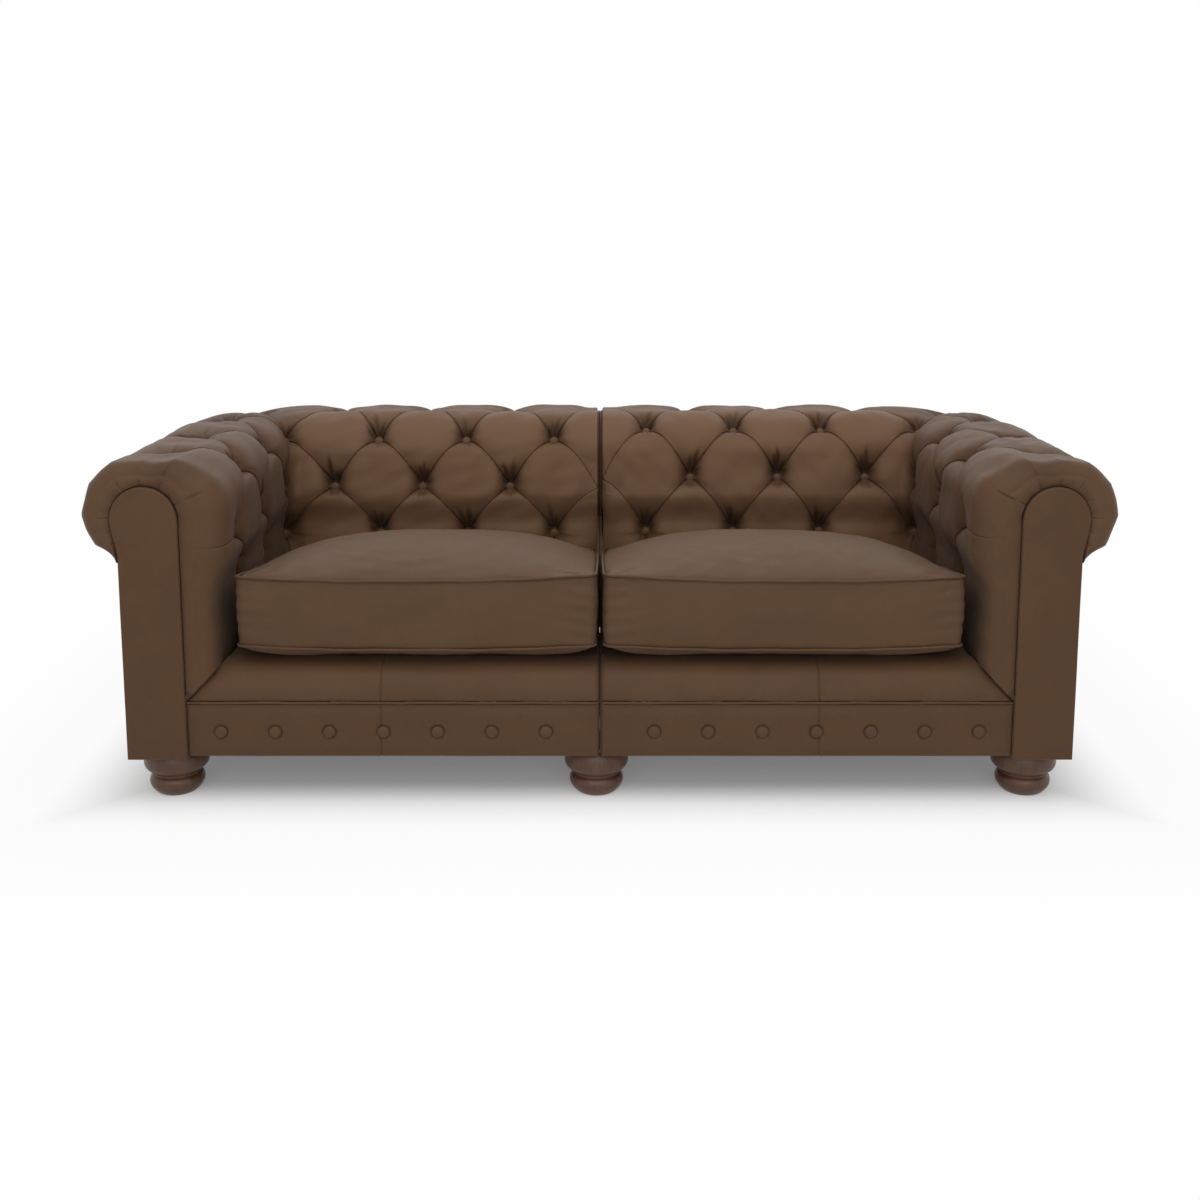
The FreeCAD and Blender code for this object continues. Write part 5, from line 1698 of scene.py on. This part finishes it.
class SOFA_OT_tufted_padding(bpy.types.Operator):
    """The button-tufted insides of the back and the arms, with their rolls"""

    bl_idname = "sofa.tufted_padding"
    bl_label = "Tufted padding"

    def execute(self, context):
        sizes = context.scene.sofa_sizes
        for side in SIDES:
            for part in ("back", "arm"):
                piece = make_padding(side, part, sizes)
                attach(piece, f"{side}_half")
                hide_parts(f"{side}_inside_{part}")
        return {"FINISHED"}


class SOFA_OT_tuft_buttons(bpy.types.Operator):
    """The covered buttons that pull the tufts in"""

    bl_idname = "sofa.tuft_buttons"
    bl_label = "Tuft buttons"

    def execute(self, context):
        radius = context.scene.sofa_sizes.button_radius * 1000
        for side in SIDES:
            shapes = []
            for column, row in tuft_places():
                c = np.array([float(column)])
                x, y, out_x, out_y = path_frame(c)
                length = row_length(np.array([float(row)]), ROWS[side])
                o, z, out_o, out_z = section_point(length, 1 - smooth((c - 6) / 2))
                sink = TUFT_DEPTH - 5.5
                o, z = o - out_o * sink, z - out_z * sink
                centre = (float(x[0] + out_x[0] * o[0]), float(y[0] + out_y[0] * o[0]), float(z[0]))
                aim = (out_x[0] * out_o[0], out_y[0] * out_o[0], out_z[0])
                points, faces = covered_button(radius, 7.5, 28)
                shapes.append((aimed(points, centre, aim), faces))
            points, faces = join_shapes(shapes)
            name = f"{side}_back_and_arm_buttons"
            piece = make_piece(name, side, points, faces, "button_leather", 0.95)
            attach(piece, f"{side}_half")
            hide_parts(f"{side}_tuft_buttons")
        return {"FINISHED"}


# Shares of the radius and the height, from the middle of the dome to the underside
BUTTON_PROFILE = (
    (0.0, 1.0), (0.3, 0.985), (0.55, 0.93), (0.75, 0.82), (0.89, 0.63),
    (0.97, 0.4), (1.0, 0.15), (0.95, -0.15), (0.8, -0.4), (0.0, -0.42),
)


def covered_button(radius, height, segments):
    """A domed button with a soft shoulder, its leather drawn in behind."""
    profile = [(radius * r, height * z) for r, z in reversed(BUTTON_PROFILE)]
    return lathe(profile, segments)


class SOFA_OT_arm_facings(bpy.types.Operator):
    """The keyhole-shaped front panels of the arms"""

    bl_idname = "sofa.arm_facings"
    bl_label = "Arm facings"

    def execute(self, context):
        for n, side in enumerate(SIDES):
            shape = facing_shape(61 + n)
            piece = make_piece(f"{side}_facing_panel", side, *shape, "panel_leather")
            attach(piece, f"{side}_half")
            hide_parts(f"{side}_arm_facing")
        return {"FINISHED"}


class SOFA_OT_front_border(bpy.types.Operator):
    """The buttoned border under the seat and the piping along its top"""

    bl_idname = "sofa.front_border"
    bl_label = "Front border"

    def execute(self, context):
        sizes = context.scene.sofa_sizes
        for n, side in enumerate(SIDES):
            points, faces, crown = border_shape(71 + n)
            border = make_piece(f"{side}_border_panel", side, points, faces, "panel_leather", crown)
            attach(border, f"{side}_half")
            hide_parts(f"{side}_front_border")
            radius = sizes.piping_radius * 1000
            xs = np.linspace(BORDER_LEFT + 1, -END_X - 1, 220)
            wave = 0.5 * np.sin(xs / 31 + n) + 0.3 * np.sin(xs / 13)
            middle = (BORDER_TOP + ROLL_BOTTOM) / 2
            welt = tube(np.column_stack([xs, BORDER_Y + 0.4 + 0 * xs, middle + wave]), radius, 12)
            cord = make_piece(f"{side}_border_welt", side, *welt, "piping_leather", 0.7)
            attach(cord, f"{side}_half")
            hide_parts(f"{side}_border_piping")
            shapes = []
            for x in border_places():
                points, faces = covered_button(sizes.border_button_radius * 1000, 5.2, 32)
                centre = (x, BORDER_Y - 0.4, BORDER_BUTTON_Z)
                shapes.append((aimed(points, centre, (0, -1, 0)), faces))
            studs = join_shapes(shapes)
            buttons = make_piece(f"{side}_border_studs", side, *studs, "button_leather", 0.7)
            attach(buttons, f"{side}_half")
            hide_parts(f"{side}_border_buttons")
        return {"FINISHED"}


class SOFA_OT_deck(bpy.types.Operator):
    """The padded front roll of the seat and the deck behind it"""

    bl_idname = "sofa.deck"
    bl_label = "Deck"

    def execute(self, context):
        for n, side in enumerate(SIDES):
            roll = make_piece(f"{side}_deck_edge", side, *deck_roll_shape(81 + n), "panel_leather")
            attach(roll, f"{side}_half")
            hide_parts(f"{side}_deck_front_roll")
            shape = deck_pad_shape(91 + n)
            pad = make_piece(f"{side}_deck_pad", side, *shape, "panel_leather", 0.5)
            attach(pad, f"{side}_half")
            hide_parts(f"{side}_deck_cover", f"{side}_deck_foam")
        return {"FINISHED"}


class SOFA_OT_outside_covers(bpy.types.Operator):
    """The outside of the arms and the back, the ends at the seam and the dust cloth"""

    bl_idname = "sofa.outside_covers"
    bl_label = "Outside covers"

    def execute(self, context):
        for n, side in enumerate(SIDES):
            for part in ("arm", "back"):
                shape = outside_shape(part, 101 + n + (part == "arm") * 7)
                cover = make_piece(f"{side}_outside_{part}_cover", side, *shape, "panel_leather")
                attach(cover, f"{side}_half")
                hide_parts(f"{side}_outside_{part}")
            shape = seam_panel_shape(side)
            # painted shade: a crown of 0.05 makes the seam end and its cords render dark in the gap
            # between the sections
            end = make_piece(f"{side}_seam_end", side, *shape, "panel_leather", 0.05)
            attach(end, f"{side}_half")
            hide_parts(f"{side}_seam_panel")
            cloth = make_piece(f"{side}_dust_cloth", side, *dust_cover_shape(), "dust_cloth")
            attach(cloth, f"{side}_half")
            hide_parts(f"{side}_dust_cover")
        return {"FINISHED"}


class SOFA_OT_seat_cushions(bpy.types.Operator):
    """The loose seat cushions with piped edges"""

    bl_idname = "sofa.seat_cushions"
    bl_label = "Seat cushions"

    def execute(self, context):
        sizes = context.scene.sofa_sizes
        for side in SIDES:
            cushion = make_cushion(side, sizes)
            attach(cushion, f"{side}_cushion")
            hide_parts(f"{side}_cushion_cover", f"{side}_cushion_core")
            radius = sizes.piping_radius * 1000
            loops = [tube(piping_path(top), radius, 10, closed=True) for top in (True, False)]
            cords = join_shapes(loops)
            cord = make_piece(f"{side}_cushion_welt", side, *cords, "cushion_leather", 0.7)
            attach(cord, f"{side}_cushion")
            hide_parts(f"{side}_cushion_piping")
        return {"FINISHED"}


class SOFA_OT_feet(bpy.types.Operator):
    """The turned bun feet"""

    bl_idname = "sofa.feet"
    bl_label = "Feet"

    def execute(self, context):
        for name, side, node, places in (
            ("left_bun_feet", "left", "left_feet", CORNER_FEET),
            ("right_bun_feet", "right", "right_feet", CORNER_FEET),
            ("middle_bun_feet", "left", "centre_feet", MIDDLE_FEET),
        ):
            feet = make_piece(name, side, *feet_shape(places), "foot_wood")
            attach(feet, f"{side}_half")
            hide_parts(node)
        return {"FINISHED"}


FRAME_FINISHES = {
    "seat_rails": "frame_wood_x",
    "side_rails": "frame_wood_y",
    "cross_rails": "frame_wood_y",
    "roll_rails": "frame_wood_x",
    "arm_front_post": "frame_wood_z",
    "scroll_ribs": "frame_wood_z",
    "corner_blocks": "frame_wood_x",
    "seat_springs": "spring_steel",
    "spring_clips": "zinc_steel",
    "foot_fixings": "zinc_steel",
    "connector_receivers": "zinc_steel",
    "connector_hooks": "zinc_steel",
}


class SOFA_OT_frame_finishes(bpy.types.Operator):
    """Timber and steel for the frame, springs and fixings of the solids"""

    bl_idname = "sofa.frame_finishes"
    bl_label = "Frame finishes"

    def execute(self, context):
        for name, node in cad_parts.items():
            for kind, finish in FRAME_FINISHES.items():
                if name.endswith(kind):
                    node.data.materials.clear()
                    node.data.materials.append(material(finish))
        return {"FINISHED"}


class SOFA_PT_sofa(bpy.types.Panel):
    """Sizes, colours and the pieces in the order in which they are made"""

    bl_idname = "SOFA_PT_sofa"
    bl_label = "Chesterfield sofa"
    bl_space_type = "VIEW_3D"
    bl_region_type = "UI"
    bl_category = "Sofa"

    def draw(self, context):
        for settings in (context.scene.sofa_sizes, context.scene.sofa_colours):
            box = self.layout.box()
            for key in settings.__annotations__:
                box.prop(settings, key)
        for operator in OPERATORS:
            self.layout.operator(operator.bl_idname)


OPERATORS = [
    SOFA_OT_stage,
    SOFA_OT_tufted_padding,
    SOFA_OT_tuft_buttons,
    SOFA_OT_arm_facings,
    SOFA_OT_front_border,
    SOFA_OT_deck,
    SOFA_OT_outside_covers,
    SOFA_OT_seat_cushions,
    SOFA_OT_feet,
    SOFA_OT_frame_finishes,
]
CLASSES = [SofaSizes, SofaColours, *OPERATORS, SOFA_PT_sofa]


def register():
    for c in CLASSES:
        bpy.utils.register_class(c)
    bpy.types.Scene.sofa_sizes = bpy.props.PointerProperty(type=SofaSizes)
    bpy.types.Scene.sofa_colours = bpy.props.PointerProperty(type=SofaColours)


def unregister():
    del bpy.types.Scene.sofa_colours
    del bpy.types.Scene.sofa_sizes
    for c in reversed(CLASSES):
        bpy.utils.unregister_class(c)


def main():
    register()
    bpy.ops.sofa.stage()
    bpy.ops.sofa.tufted_padding()
    bpy.ops.sofa.tuft_buttons()
    bpy.ops.sofa.arm_facings()
    bpy.ops.sofa.front_border()
    bpy.ops.sofa.deck()
    bpy.ops.sofa.outside_covers()
    bpy.ops.sofa.seat_cushions()
    bpy.ops.sofa.feet()
    bpy.ops.sofa.frame_finishes()


if __name__ == "__main__":
    main()
